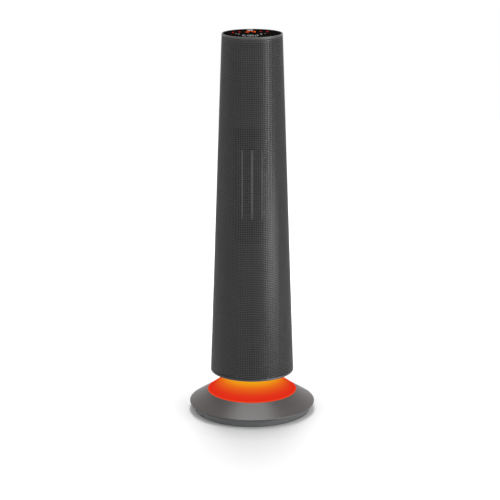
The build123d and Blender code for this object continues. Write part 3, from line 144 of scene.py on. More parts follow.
def fill_ramp(ramp: bpy.types.Node, steps: list[tuple[float, Colour]]) -> None:
    """Give a colour ramp its stops.

    Args:
        ramp: the ramp's node, with the two stops that it starts with.
        steps: place along the ramp from 0 to 1, and its colour, in order.
    """
    stops = ramp.color_ramp.elements
    while len(stops) < len(steps):
        stops.new(0.5)
    for stop, (place, colour) in zip(stops, steps):
        stop.position = place
        stop.color = colour


def blank_tree(material: bpy.types.Material | bpy.types.World) -> bpy.types.NodeTree:
    """The empty node tree of a new material or world."""
    material.use_nodes = True
    material.node_tree.nodes.clear()
    return material.node_tree


@dataclass(frozen=True)
class Finish:
    """A surface finish. Every finish has a colour that drifts a little and a fine bump of a real size.

    Attributes:
        name: the finish's name.
        colour: sRGB hex of the surface.
        drift: sRGB hex of the patches that it drifts to.
        rough: middle roughness, and how far it wanders either way.
        grain_mm: size and height of the bump's grain.
        stretch: how much longer the grain is along Z than across, as on brushed metal.
        metallic: 1 for bare metal.
        ior: index of refraction.
        coat: strength of a clear coat.
        gloss: specular level, where 0.5 is plain plastic.
    """
    name: str
    colour: str
    drift: str
    rough: tuple[float, float]
    grain_mm: tuple[float, float]
    stretch: float = 1.0
    metallic: float = 0.0
    ior: float = 1.5
    coat: float = 0.0
    gloss: float = 0.5

    def surface(self, tree: bpy.types.NodeTree) -> bpy.types.Node:
        """Colour, roughness and bump from noise on object coordinates, in real sizes.

        Args:
            tree: the material's node tree.
        Returns:
            The shader node, already joined to the output.
        """
        (middle, spread), (grain, height) = self.rough, self.grain_mm
        where = add(tree, "ShaderNodeTexCoord").outputs["Object"]
        shape = add(tree, "ShaderNodeMapping", {"Vector": where}, Scale=(1, 1, 1 / self.stretch))
        fine = add(tree, "ShaderNodeTexNoise", {"Vector": shape.outputs[0]},
                   Scale=1 / (grain * MM), Detail=GRAIN_DETAIL)
        broad = add(tree, "ShaderNodeTexNoise", {"Vector": where},
                    Scale=1 / (PATCH_MM * MM), Detail=PATCH_DETAIL)
        colour = add(tree, "ShaderNodeMix", {0: broad.outputs[0]}, data_type="RGBA")
        colour.inputs[MIX_FROM].default_value = linear(self.colour)
        colour.inputs[MIX_TO].default_value = linear(self.drift)
        rough = add(tree, "ShaderNodeMapRange", {"Value": fine.outputs[0]},
                    To_Min=middle - spread, To_Max=middle + spread)
        bump = add(tree, "ShaderNodeBump", {"Height": fine.outputs[0]},
                   Strength=BUMP_STRENGTH, Distance=height * MM)
        shader = add(tree, "ShaderNodeBsdfPrincipled",
                     {"Base Color": colour.outputs[MIX_RESULT], "Roughness": rough.outputs[0],
                      "Normal": bump.outputs[0]},
                     Metallic=self.metallic, IOR=self.ior, Coat_Weight=self.coat,
                     Specular_IOR_Level=self.gloss)
        add(tree, "ShaderNodeOutputMaterial", {"Surface": shader.outputs[0]})
        return shader

    def material(self) -> bpy.types.Material:
        """The finish as a material, made once."""
        if self.name not in bpy.data.materials:
            self.surface(blank_tree(bpy.data.materials.new(self.name)))
        return bpy.data.materials[self.name]


@dataclass(frozen=True)
class Glow(Finish):
    """A lit finish: the same surface with light of its own.

    Attributes:
        light: sRGB hex of the light.
        strength: its strength, where 1 shows the colour as it is written.
    """
    light: str = "ff4010"
    strength: float = 1.0

    def surface(self, tree: bpy.types.NodeTree) -> bpy.types.Node:
        """The plain surface, with an emission colour and strength set on the shader."""
        shader = super().surface(tree)
        shader.inputs["Emission Color"].default_value = linear(self.light)
        shader.inputs["Emission Strength"].default_value = self.strength
        return shader


@dataclass(frozen=True)
class RingGlow(Finish):
    """A glow whose colour changes with the distance from the tower's axis.

    Attributes:
        steps: share of the way across the node, from its neck to its outer edge, and the sRGB hex there.
        node: the round node of the frame that gives both radii.
        strength: strength of the light.
    """
    steps: tuple[tuple[float, str], ...] = ()
    node: str = "light_ring"
    strength: float = 1.0

    def surface(self, tree: bpy.types.NodeTree) -> bpy.types.Node:
        """The plain surface, lit along a ramp over the length of (x, y, 0)."""
        shader = super().surface(tree)
        radii, _ = round_profile(self.node)
        where = add(tree, "ShaderNodeTexCoord").outputs["Object"]
        flat = add(tree, "ShaderNodeVectorMath", {0: where}, operation="MULTIPLY")
        flat.inputs[1].default_value = (1, 1, 0)
        radius = add(tree, "ShaderNodeVectorMath", {0: flat.outputs[0]}, operation="LENGTH")
        along = add(tree, "ShaderNodeMapRange", {"Value": radius.outputs["Value"]},
                    From_Min=radii.min() * MM, From_Max=radii.max() * MM)
        ramp = add(tree, "ShaderNodeValToRGB", {"Fac": along.outputs[0]})
        fill_ramp(ramp, [(place, linear(code)) for place, code in self.steps])
        tree.links.new(ramp.outputs[0], shader.inputs["Emission Color"])
        shader.inputs["Emission Strength"].default_value = self.strength
        return shader


# Moulded ABS with a fine spark-eroded texture: satin, with soft broad highlights
DISH_PLASTIC = Finish("satin_abs_dish", "4d4847", "484342", (0.4, 0.04), (0.5, 0.012), gloss=0.3)
FOOT_PLASTIC = Finish("satin_abs_foot", "717374", "6b6d6e", (0.5, 0.04), (0.5, 0.012), gloss=0.3)
BEZEL_PLASTIC = Finish("satin_abs_bezel", "585858", "535353", (0.45, 0.04), (0.5, 0.01), gloss=0.2)
TRIM_PLASTIC = Finish("satin_abs_trim", "42444a", "3e4046", (0.42, 0.04), (0.5, 0.01), gloss=0.3)
SPINE_PLASTIC = Finish("moulded_abs_spine", "444445", "3e3e3f", (0.48, 0.05), (0.7, 0.02))
# The same ABS inside the tower, untextured and dull, so that the sleeve's holes look dark
INNER_PLASTIC = Finish("moulded_abs_inner", "3a3a3b", "353536", (0.6, 0.05), (0.9, 0.02), gloss=0.1)
# Outlet frame near black: painted shade, standing in for the shadow gap round the frame in the housing's
# window
PAINTED_SHADE_OUTLET = Finish("painted_shade_outlet", "070708", "060606", (0.6, 0.05), (0.9, 0.02), gloss=0.1)
# Moulded nylon and ABS fittings: black, with a little shine
BLACK_PLASTIC = Finish("moulded_abs_black", "1c1c1d", "222223", (0.45, 0.06), (0.7, 0.015))
# Glass-filled nylon: the fibres at the surface make it dull and a little coarse
ROTOR_PLASTIC = Finish("glass_filled_rotor_plastic", "2a2a2c", "242426", (0.55, 0.06), (1.2, 0.02))
# Pressed phenolic: brown, half dull
HEATPROOF_PLASTIC = Finish("phenolic_moulding", "30241e", "281e19", (0.55, 0.05), (1.0, 0.02))
# Cut and moulded acetal: white and waxy
WHITE_ACETAL = Finish("white_acetal", "dcdad2", "d4d2ca", (0.38, 0.05), (0.8, 0.01))
# Powder coat on steel sheet: a fine orange peel that keeps a soft sheen
SLEEVE_PAINT = Finish("powder_coat_sleeve", "5e5e5e", "585858", (0.34, 0.05), (0.7, 0.008), gloss=0.12)
# Cast acrylic with a hard coat: black and smooth
PANEL_ACRYLIC = Finish("black_acrylic", "070505", "080606", (0.2, 0.02), (4.0, 0.001),
                       coat=0.006, ior=1.49, gloss=0.0)
# Rolled steel: fine lines along the sheet that draw the highlight out
BRUSHED_STEEL = Finish("rolled_steel", "9a9a9b", "8f8f90", (0.35, 0.08), (0.3, 0.004),
                       stretch=12, metallic=1.0)
# Zinc plate on screws: bright, slightly blue
ZINC_PLATE = Finish("zinc_plated_steel", "b4b6b8", "a6a8ab", (0.3, 0.06), (0.5, 0.004), metallic=1.0)
# Aluminium fins painted near black as the shade deep behind the outlet, and bars that only dulled in the
# brazing furnace
PAINTED_SHADE_FINS = Finish("painted_shade_fin_aluminium", "0e0e0f", "0b0b0c", (0.6, 0.08), (0.5, 0.01), metallic=0.5)
BAR_STOCK = Finish("oxidised_aluminium", "8a8b8d", "808183", (0.5, 0.08), (0.3, 0.004),
                   stretch=16, metallic=1.0)
# Pressed brass: yellow and fairly bright
BRASS = Finish("pressed_brass", "c2a35a", "b3944e", (0.3, 0.06), (0.4, 0.004), metallic=1.0)
# Sintered bronze: pores and oil leave it brown and dull
BRONZE = Finish("sintered_bronze", "9c7443", "8c673a", (0.5, 0.08), (0.4, 0.01), metallic=1.0)
# Enamelled wire, wound in level layers: fine ridges across the coil under varnish
COPPER = Finish("enamelled_copper", "a4532a", "8f4824", (0.32, 0.06), (0.4, 0.06),
                stretch=0.1, metallic=1.0, coat=0.6)
# Stamped iron sheets in a stack: dark, with the edges of the sheets as ridges
IRON = Finish("laminated_iron", "3a3b3d", "323335", (0.5, 0.08), (0.5, 0.05), stretch=0.08, metallic=0.6)
# Moulded rubber: black and dull
RUBBER = Finish("soft_rubber", "202020", "262626", (0.8, 0.05), (1.0, 0.03))
# Fired barium titanate: grey brown and matt
CERAMIC = Finish("ptc_ceramic", "6d655c", "625b53", (0.7, 0.06), (0.6, 0.02))
# Solder mask over glass fibre board: green under a clear shine
CIRCUIT = Finish("solder_mask", "1d5a34", "17502d", (0.35, 0.05), (2.0, 0.02), coat=0.4)
# Moulded polyester cases: smooth, blue on the relays and nearly black round the digits
RELAY_CASE = Finish("relay_case", "24589a", "1f4f8b", (0.25, 0.04), (1.5, 0.005))
DISPLAY_CASE = Finish("display_case", "141010", "181313", (0.3, 0.04), (1.0, 0.003))
# Phosphor in clear resin: amber, and lit
LAMP_CHIP = Glow("lamp_chip", "f0c060", "e8b050", (0.3, 0.03), (1.0, 0.003), light="ffb040", strength=2.0)
# Frosted polycarbonate lit from inside: amber by the neck, through orange to red at the outer edge
LIGHT_RING = RingGlow("frosted_light_ring", "2c0604", "280503", (0.4, 0.03), (0.6, 0.004),
                      steps=((0.0, "fcc010"), (0.083, "f7b115"), (0.25, "f3931a"), (0.417, "ee6d1a"),
                             (0.583, "e8511c"), (0.75, "e6371c"), (0.93, "e52c1a"), (1.0, "f04a1c")),
                      strength=0.95, gloss=0.0)
# Silk-screened ink on the panel: flat and dull
GREY_PRINT = Finish("grey_print", "a4a4a4", "9c9c9c", (0.5, 0.03), (0.5, 0.001), gloss=0.05)
# Windows in the panel's black backing with lamps behind them: flat and lit
WHITE_PRINT = Glow("white_print", "c8cacc", "c0c2c4", (0.4, 0.03), (0.5, 0.001),
                   light="d8dce0", strength=0.55, gloss=0.0)
RED_LIGHT = Glow("red_lamp", "400804", "380804", (0.3, 0.03), (1.0, 0.001),
                 light="e21c0c", strength=1.0, gloss=0.0)
DIGIT_LIGHT = Glow("lit_digit", "501004", "480e04", (0.3, 0.03), (1.0, 0.001),
                   light="ff5c08", strength=1.6, gloss=0.0)


@dataclass(frozen=True)
class SubAssembly:
    """Nodes of the frame that belong together.

    Attributes:
        name: what they make up.
        finishes: each finish, with the nodes that have it.
    """
    name: str
    finishes: dict[Finish, tuple[str, ...]]

    def dress(self) -> None:
        """Give each node its finish."""
        for finish, names in self.finishes.items():
            for name in names:
                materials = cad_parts[name].data.materials
                materials.clear()
                materials.append(finish.material())
                log.info("%s: %s in %s", self.name, name, finish.name)


SUB_ASSEMBLIES = (
    SubAssembly("base", {
        DISH_PLASTIC: ("base_cover",),
        FOOT_PLASTIC: ("base_plate",),
        LIGHT_RING: ("light_ring",),
        RUBBER: ("rubber_feet",),
        BLACK_PLASTIC: ("pivot_post", "tip_switch_body", "cord_gland"),
        WHITE_ACETAL: ("thrust_washer", "oscillation_gear", "tip_plunger"),
        BRUSHED_STEEL: ("ballast_plate", "plunger_spring"),
        ZINC_PLATE: ("base_screws", "gear_screws"),
        CIRCUIT: ("led_board",),
        LAMP_CHIP: ("led_chips",)}),
    SubAssembly("tower shell", {
        SLEEVE_PAINT: ("mesh_sleeve",),
        TRIM_PLASTIC: ("bottom_ring",),
        BEZEL_PLASTIC: ("top_bezel",),
        SPINE_PLASTIC: ("rear_spine",),
        INNER_PLASTIC: ("turntable", "front_housing", "rear_housing", "top_cap"),
        BRUSHED_STEEL: ("slip_washer",),
        ZINC_PLATE: ("spine_screws",)}),
    SubAssembly("heater", {
        PAINTED_SHADE_OUTLET: ("outlet_frame",),
        HEATPROOF_PLASTIC: ("heater_frame",),
        BAR_STOCK: ("ptc_bars",),
        PAINTED_SHADE_FINS: ("heater_fins",),
        CERAMIC: ("ptc_stones",),
        BRASS: ("heater_terminals",),
        BRUSHED_STEEL: ("thermal_cutout",)}),
    SubAssembly("blower", {
        ROTOR_PLASTIC: ("blower_rotor",),
        INNER_PLASTIC: ("blower_deck", "bearing_plate", "blower_scroll"),
        BRUSHED_STEEL: ("rotor_shaft", "rotor_stub", "motor_brackets"),
        BRONZE: ("rotor_bearing",),
        COPPER: ("motor_coil",),
        IRON: ("motor_stator", "motor_armature")}),
    SubAssembly("oscillation drive", {
        BRUSHED_STEEL: ("oscillation_motor",),
        ZINC_PLATE: ("motor_screws",),
        WHITE_ACETAL: ("oscillation_pinion",)}),
    SubAssembly("electrics", {
        PANEL_ACRYLIC: ("control_lens",),
        DISPLAY_CASE: ("display_module",),
        LAMP_CHIP: ("indicator_leds",),
        BRUSHED_STEEL: ("touch_springs",),
        CIRCUIT: ("control_board", "power_board"),
        RELAY_CASE: ("relays",),
        BLACK_PLASTIC: ("terminal_block", "rocker_housing", "rocker_key"),
        BRASS: ("rocker_terminals",)}),
)


def new_piece(name: str, mesh_arrays: Mesh, finish: Finish) -> bpy.types.Object:
    """Put a mesh worked out as arrays into the scene, riding on the tower.

    Args:
        name: the piece's name.
        mesh_arrays: vertex places in metres, one row each, and vertex numbers, four to a row.
        finish: its finish.
    Returns:
        The new object.
    """
    points, faces = mesh_arrays
    mesh = bpy.data.meshes.new(name)
    mesh.vertices.add(len(points))
    mesh.vertices.foreach_set("co", points.astype(np.float32).ravel())
    mesh.loops.add(faces.size)
    mesh.loops.foreach_set("vertex_index", faces.astype(np.int32).ravel())
    mesh.polygons.add(len(faces))
    mesh.polygons.foreach_set("loop_start", np.arange(0, faces.size, faces.shape[1], dtype=np.int32))
    mesh.update(calc_edges=True)
    mesh.validate()
    mesh.materials.append(finish.material())
    piece = bpy.data.objects.new(name, mesh)
    bpy.context.scene.collection.objects.link(piece)
    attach(piece, TOWER)
    log.info("%s: %d faces in %s", name, len(mesh.polygons), finish.name)
    return piece


def quads(*corners: Array) -> Array:
    """Faces of four, from an array of vertex numbers for each corner in turn."""
    return np.stack(corners, axis=-1)


def slab(path: Array, half: float, low: float, high: float) -> Mesh:
    """A flat ribbon along a path: each point goes half a width to either side, square to the path, and there
    is one such pair of rails at each of two heights.

    Args:
        path: points of the middle line, x and y in mm.
        half: half of the width in mm.
        low: height of the underside in mm.
        high: height of the top in mm.
    Returns:
        Points in metres, and faces of four.
    """
    run = np.gradient(path, axis=0)
    run /= np.linalg.norm(run, axis=1, keepdims=True)
    side = np.column_stack([-run[:, 1], run[:, 0]]) * half
    rails = [(path - side, low), (path + side, low), (path + side, high), (path - side, high)]
    points = np.concatenate([np.column_stack([rail, np.full(len(rail), z)]) for rail, z in rails]) * MM
    count = len(path)
    step = np.arange(count - 1)
    start = np.arange(4) * count
    walls = [quads(step + a, step + a + 1, step + b + 1, step + b) for a, b in zip(start, np.roll(start, -1))]
    ends = np.array([start, start[::-1] + count - 1])
    return points, np.concatenate([*walls, ends])


def merged(parts: list[Mesh]) -> Mesh:
    """Several meshes as one: each one's vertex numbers move on by the vertices before it."""
    starts = np.cumsum([0] + [len(points) for points, _ in parts[:-1]])
    return (np.concatenate([points for points, _ in parts]),
            np.concatenate([faces + start for (_, faces), start in zip(parts, starts)]))


@dataclass
class PerforatedSleeve:
    """Sheet with square holes, rolled to the tower's cone and closed at the back by the spine. In mm.

    Attributes:
        thickness: thickness of the sheet where it goes under the spine.
        proud: how much thicker the sheet is outwards in front, to bring it level with the ring and the bezel.
        thins: degrees from the front where it starts to thin towards the spine, and where it has.
        pitch: distance from hole to hole.
        hole: width of a hole.
        edge: plain strip at the first and the last row of holes.
        shadow_gap: how far the sheet ends below the spine's top, as a dark line under the bezel.
        under_spine: how far each free edge goes under the spine.
        panels: number of pieces that the sheet is made in, side by side.
        crease: degrees between faces, past which an edge is sharp.
        bottom: height of the lower edge, from the frame's plain sheet.
        top: height of the upper edge.
        bottom_radius: outside radius of the frame's sheet at its lower edge.
        slope: how much that radius falls for each mm of height.
        back_gap: half of the gap that the spine closes.
    """
    thickness: float = 0.8
    proud: float = 0.9
    thins: tuple[float, float] = (140.0, 158.0)
    pitch: float = 3.5
    hole: float = 2.7
    edge: float = 0.6
    shadow_gap: float = 1.7
    under_spine: float = 3.85
    panels: int = 4
    crease: float = 30.0
    bottom: float = field(init=False)
    top: float = field(init=False)
    bottom_radius: float = field(init=False)
    slope: float = field(init=False)
    back_gap: float = field(init=False)

    def __post_init__(self) -> None:
        """Take the cone from the frame's plain sheet, and the top and the back gap from its spine."""
        radius, height = round_profile("mesh_sleeve")
        ends = height.min(), height.max()
        wide, narrow = (radius[np.abs(height - end) < LEVEL_MM].max() for end in ends)
        self.bottom, self.bottom_radius = ends[0], wide
        self.slope = (wide - narrow) / (ends[1] - ends[0])
        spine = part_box("rear_spine")[1]
        self.top = spine.z / MM - self.shadow_gap
        self.back_gap = spine.x / MM - self.under_spine

    def radius(self, height: Array) -> Array:
        """Outside radius of the frame's sheet, which falls evenly with height."""
        return self.bottom_radius - self.slope * (height - self.bottom)

    def rows(self) -> Array:
        """Heights of the grid's lines: a narrow row at each edge, and even rows near the pitch between."""
        low, high = self.bottom + self.edge, self.top - self.edge
        count = round((high - low) / (self.pitch * cos(atan(self.slope))))
        return np.concatenate([[self.bottom], np.linspace(low, high, count + 1), [self.top]])

    def on_cone(self, arc: Array, height: Array, inner: bool) -> Array:
        """Points on the cone: the angle from the front is arc over radius, and the front stands proud.

        Args:
            arc: distance round the sheet from the front line, in mm.
            height: height in mm.
            inner: whether the points are on the inner face.
        Returns:
            Points in metres, one to each arc and height.
        """
        radius = self.radius(height)
        angle = arc / radius
        start, end = np.radians(self.thins)
        thinning = np.clip((np.abs(angle) - start) / (end - start), 0, 1)
        face = radius - self.thickness if inner else radius + self.proud * (1 - thinning)
        return np.stack([face * np.sin(angle), -face * np.cos(angle), height], axis=-1).reshape(-1, 3) * MM

    def hole_corners(self, arc: Array, height: Array) -> tuple[Array, Array]:
        """Each hole's corners: those of its cell, moved inwards by half of what the hole leaves of the pitch.

        Args:
            arc: arc of each grid point.
            height: height of each grid point.
        Returns:
            Arc and height of the corners, in the order of Side.
        """
        inset = (self.pitch - self.hole) / 2
        rise = inset * np.diff(height[0]).max() / self.pitch
        left, right = arc[:-1, :-1] + inset, arc[1:, :-1] - inset
        low, high = height[:-1, :-1] + rise, height[:-1, 1:] - rise
        return np.stack([left, right, right, left]), np.stack([low, low, high, high])

    def kept_cells(self, arc: Array, height: Array) -> Array:
        """The cells clear of the back gap: each corner's arc is at most half the girth less half the gap."""
        kept = np.abs(arc) <= pi * self.radius(height) - self.back_gap
        return kept[:-1, :-1] & kept[1:, :-1] & kept[1:, 1:] & kept[:-1, 1:]

    @staticmethod
    def open_sides(kept: Array, side: Side) -> Array:
        """The kept cells that have no neighbour on one side.

        Args:
            kept: which cells there are.
            side: the side to look at.
        Returns:
            True for each such cell.
        """
        across, along = {Side.BELOW: (1, 0), Side.RIGHT: (2, 1), Side.ABOVE: (1, 2), Side.LEFT: (0, 1)}[side]
        columns, lines = kept.shape
        return kept & ~np.pad(kept, 1)[across:across + columns, along:along + lines]

    def panel(self, first: int, last: int) -> Mesh:
        """The columns from first to last, as a closed sheet: on both faces a cell is plain or a rim round a
        hole, and a wall joins the faces round each hole and at each free edge.

        Args:
            first: number of the first grid line, counted from the front.
            last: number of the last grid line.
        Returns:
            Points in metres, and faces of four.
        """
        arc, height = np.meshgrid(self.pitch * np.arange(first, last + 1), self.rows(), indexing="ij")
        hole_arc, hole_height = self.hole_corners(arc, height)
        points = np.concatenate([self.on_cone(*grid, inner) for inner in (False, True)
                                 for grid in ((arc, height), (hole_arc, hole_height))])
        inward = len(points) // 2
        node = np.arange(arc.size).reshape(arc.shape)
        cell = np.stack([node[:-1, :-1], node[1:, :-1], node[1:, 1:], node[:-1, 1:]])
        hole = arc.size + np.arange(hole_arc.size).reshape(hole_arc.shape)
        kept = self.kept_cells(arc, height)
        pierced = kept.copy()
        pierced[:, [0, -1]] = False
        plain = quads(*cell)[kept & ~pierced]
        faces = [plain, plain[:, ::-1] + inward]
        for side in Side:
            after = (side + 1) % len(Side)
            rim = quads(cell[side], cell[after], hole[after], hole[side])[pierced]
            wall = quads(hole[side], hole[after], hole[after] + inward, hole[side] + inward)[pierced]
            border = quads(cell[after], cell[side], cell[side] + inward, cell[after] + inward)
            faces += [rim, rim[:, ::-1] + inward, wall, border[self.open_sides(kept, side)]]
        used, numbers = np.unique(np.concatenate(faces), return_inverse=True)
        return points[used], numbers.reshape(-1, 4)

    def build(self) -> None:
        """Make the panels, and let them stand for the plain sheet."""
        half = int(pi * self.bottom_radius / self.pitch)
        lines = np.round(np.linspace(-half, half, self.panels + 1)).astype(int)
        for number, (first, last) in enumerate(zip(lines, lines[1:]), start=1):
            piece = new_piece(f"sleeve_panel_{number}", self.panel(first, last), SLEEVE_PAINT)
            piece.data.polygons.foreach_set("use_smooth", np.ones(len(piece.data.polygons), dtype=bool))
            piece.data.set_sharp_from_angle(angle=radians(self.crease))
            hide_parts("mesh_sleeve")


@dataclass(frozen=True)
class Line:
    """A straight mark. In mm, from the middle of its sign.

    Attributes:
        start: x and y of one end.
        end: x and y of the other end.
        half: half of its width.
    """
    start: tuple[float, float]
    end: tuple[float, float]
    half: float

    def path(self, tall: float) -> Array:
        """Both ends, with y times tall."""
        return np.array([self.start, self.end]) * (1, tall)


@dataclass(frozen=True)
class Curve:
    """Part of a ring. In mm, from the middle of its sign.

    Attributes:
        radius: radius of the middle line.
        half: half of its width. Where it is the radius too, the ring is a full disc.
        start: first angle in degrees.
        end: last angle in degrees.
    """
    radius: float
    half: float
    start: float = 0.0
    end: float = FULL_TURN

    def path(self, tall: float) -> Array:
        """Points at even angles, at radius times the cosine and radius times tall times the sine."""
        angle = np.radians(np.linspace(self.start, self.end, CURVE_POINTS))
        return np.column_stack([self.radius * np.cos(angle), self.radius * tall * np.sin(angle)])


def disc(radius: float) -> Curve:
    """A full disc, as a ring with no hole."""
    return Curve(radius / 2, radius / 2)


class Key(Enum):
    """The printed signs of the five keys."""
    LESS = (Line((-2.0, 0.0), (2.0, 0.0), 0.9),)
    CRESCENT = (Curve(1.6, 0.5, 40.0, 320.0),)
    POWER = (Curve(1.7, 0.5, 125.0, 415.0), Line((0.0, 2.6), (0.0, 0.4), 0.45))
    SUN = (Curve(1.3, 0.8),)
    MORE = (Line((-2.0, 0.0), (2.0, 0.0), 0.9), Line((0.0, -2.0), (0.0, 2.0), 0.5))


@dataclass
class PanelMarks:
    """Lit and printed marks on the round touch panel, all generic. In mm, with y towards the back. The panel
    is read from low down, so the marks are longer towards the back than across.

    Attributes:
        film: thickness of the marks.
        display: x and y of the display's centre.
        number: the digits shown.
        digit: width and length of a digit.
        digit_half: half of a segment's width.
        digit_space: distance between two digits.
        segment_gap: gap at each end of a segment.
        lamps: place of each red lamp.
        lamp_radius: radius of a lamp.
        lamp_tall: length of a lamp over its width.
        bar: the white bar, by its ends and half of its width.
        dots: place and radius of each printed dot.
        keys: x of each key.
        key_line: y of the keys.
        key_tall: length of a key or a dot over its width.
        key_bar: the short bar in front of each key.
        key_bar_drop: distance from a key to its bar.
        bracket: centre of the two curved marks that close the row of keys.
        bracket_curves: those marks.
        bracket_tall: length of the brackets' circle over its width.
        face: height of the panel's face, from the frame.
    """
    film: float = 0.08
    display: tuple[float, float] = (-3.0, 21.5)
    number: str = "24"
    digit: tuple[float, float] = (8.0, 20.0)
    digit_half: float = 1.1
    digit_space: float = 2.5
    segment_gap: float = 0.35
    lamps: tuple[tuple[float, float], ...] = ((-36.2, 12.0), (-24.0, 19.0), (16.3, 23.0), (28.9, 22.0))
    lamp_radius: float = 2.0
    lamp_tall: float = 2.0
    bar: Line = Line((-9.4, 43.0), (1.5, 43.0), 3.0)
    dots: tuple[tuple[float, float, float], ...] = (
        (-31.0, -3.5, 1.0), (24.4, -3.0, 1.0), (-25.2, -10.0, 2.0), (17.2, -10.0, 2.0))
    keys: tuple[tuple[Key, float], ...] = (
        (Key.LESS, -13.0), (Key.CRESCENT, -7.6), (Key.POWER, -3.2), (Key.SUN, 1.4), (Key.MORE, 6.4))
    key_line: float = -27.0
    key_tall: float = 2.2
    key_bar: Line = Line((-1.5, 0.0), (1.5, 0.0), 1.2)
    key_bar_drop: float = 14.0
    bracket: tuple[float, float] = (-3.4, -28.0)
    bracket_curves: tuple[Curve, ...] = (Curve(14.6, 0.6, 140.0, 220.0), Curve(14.6, 0.6, -40.0, 40.0))
    bracket_tall: float = 1.1
    face: float = field(init=False)

    def __post_init__(self) -> None:
        """Take the height of the panel's face from the frame."""
        self.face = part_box("control_lens")[1].z / MM

    def mark(self, shape: Line | Curve, x: float = 0.0, y: float = 0.0, tall: float = 1.0) -> Mesh:
        """A line or a curve laid on the panel.

        Args:
            shape: the mark.
            x: x of its middle.
            y: y of its middle.
            tall: its length over its width.
        Returns:
            Points and faces.
        """
        return slab(shape.path(tall) + (x, y), shape.half, self.face, self.face + self.film)

    def digits(self) -> list[Mesh]:
        """Seven-segment digits: a segment is a short bar between two corners of a box of two squares."""
        lit = {"2": "abged", "4": "fgbc"}
        right, top = (size / 2 - self.digit_half for size in self.digit)
        ends = {"a": ((-right, top), (right, top)), "b": ((right, top), (right, 0)),
                "c": ((right, 0), (right, -top)), "d": ((-right, -top), (right, -top)),
                "e": ((-right, 0), (-right, -top)), "f": ((-right, top), (-right, 0)),
                "g": ((-right, 0), (right, 0))}
        marks = []
        middle = (len(self.number) - 1) / 2
        for place, digit in enumerate(self.number):
            x = self.display[0] + (place - middle) * (self.digit[0] + self.digit_space)
            for start, end in (np.array(ends[name]) for name in lit[digit]):
                cut = (end - start) / np.linalg.norm(end - start) * (self.digit_half + self.segment_gap)
                marks.append(self.mark(Line(tuple(start + cut), tuple(end - cut), self.digit_half),
                                       x, self.display[1]))
        return marks

    def prints(self) -> list[Mesh]:
        """The keys with a short bar in front of each, the brackets round them, and the dots."""
        marks = []
        for key, x in self.keys:
            marks += [self.mark(shape, x, self.key_line, self.key_tall) for shape in key.value]
            marks.append(self.mark(self.key_bar, x, self.key_line - self.key_bar_drop))
        marks += [self.mark(curve, *self.bracket, self.bracket_tall) for curve in self.bracket_curves]
        return marks + [self.mark(disc(radius), x, y, self.key_tall) for x, y, radius in self.dots]

    def build(self) -> None:
        """Make the lit digits, the red lamps, the white bar and the grey print."""
        lamps = [self.mark(disc(self.lamp_radius), x, y, self.lamp_tall) for x, y in self.lamps]
        for name, marks, finish, slot in (("panel_digits", self.digits(), DIGIT_LIGHT, Slot.DISPLAY),
                                          ("panel_lamps", lamps, RED_LIGHT, Slot.LAMP),
                                          ("panel_bar", [self.mark(self.bar)], WHITE_PRINT, Slot.LENS),
                                          ("panel_symbols", self.prints(), GREY_PRINT, Slot.LENS)):
            new_piece(name, merged(marks), finish)


@dataclass(frozen=True)
class Softbox:
    """A rectangular lamp that looks at a point.

    Attributes:
        name: the lamp's name.
        azimuth: degrees to the right of the camera's side, seen from above.
        elevation: degrees above the floor.
        distance: distance from the point.
        width: width of the lamp.
        height: height of the lamp.
        watts: its power.
        aim: the point it looks at.
        gloss_only: whether only gloss shows it, as a card that makes a highlight and adds no light.
    """
    name: str
    azimuth: float
    elevation: float
    distance: float
    width: float
    height: float
    watts: float
    aim: tuple[float, float, float] = (0.0, 0.0, 0.38)
    gloss_only: bool = False

    def build(self) -> None:
        """Hang the lamp on a sphere round its point, facing it."""
        light = bpy.data.lights.new(self.name, "AREA")
        light.shape = "RECTANGLE"
        light.size, light.size_y, light.energy = self.width, self.height, self.watts
        lamp = bpy.data.objects.new(self.name, light)
        turn, lift = radians(self.azimuth), radians(self.elevation)
        away = Vector((sin(turn) * cos(lift), -cos(turn) * cos(lift), sin(lift)))
        lamp.location = Vector(self.aim) + away * self.distance
        lamp.rotation_euler = away.to_track_quat("Z", "Y").to_euler()
        lamp.visible_diffuse = not self.gloss_only
        lamp.visible_camera = False
        bpy.context.scene.collection.objects.link(lamp)
        log.info("%s: %g W", self.name, self.watts)


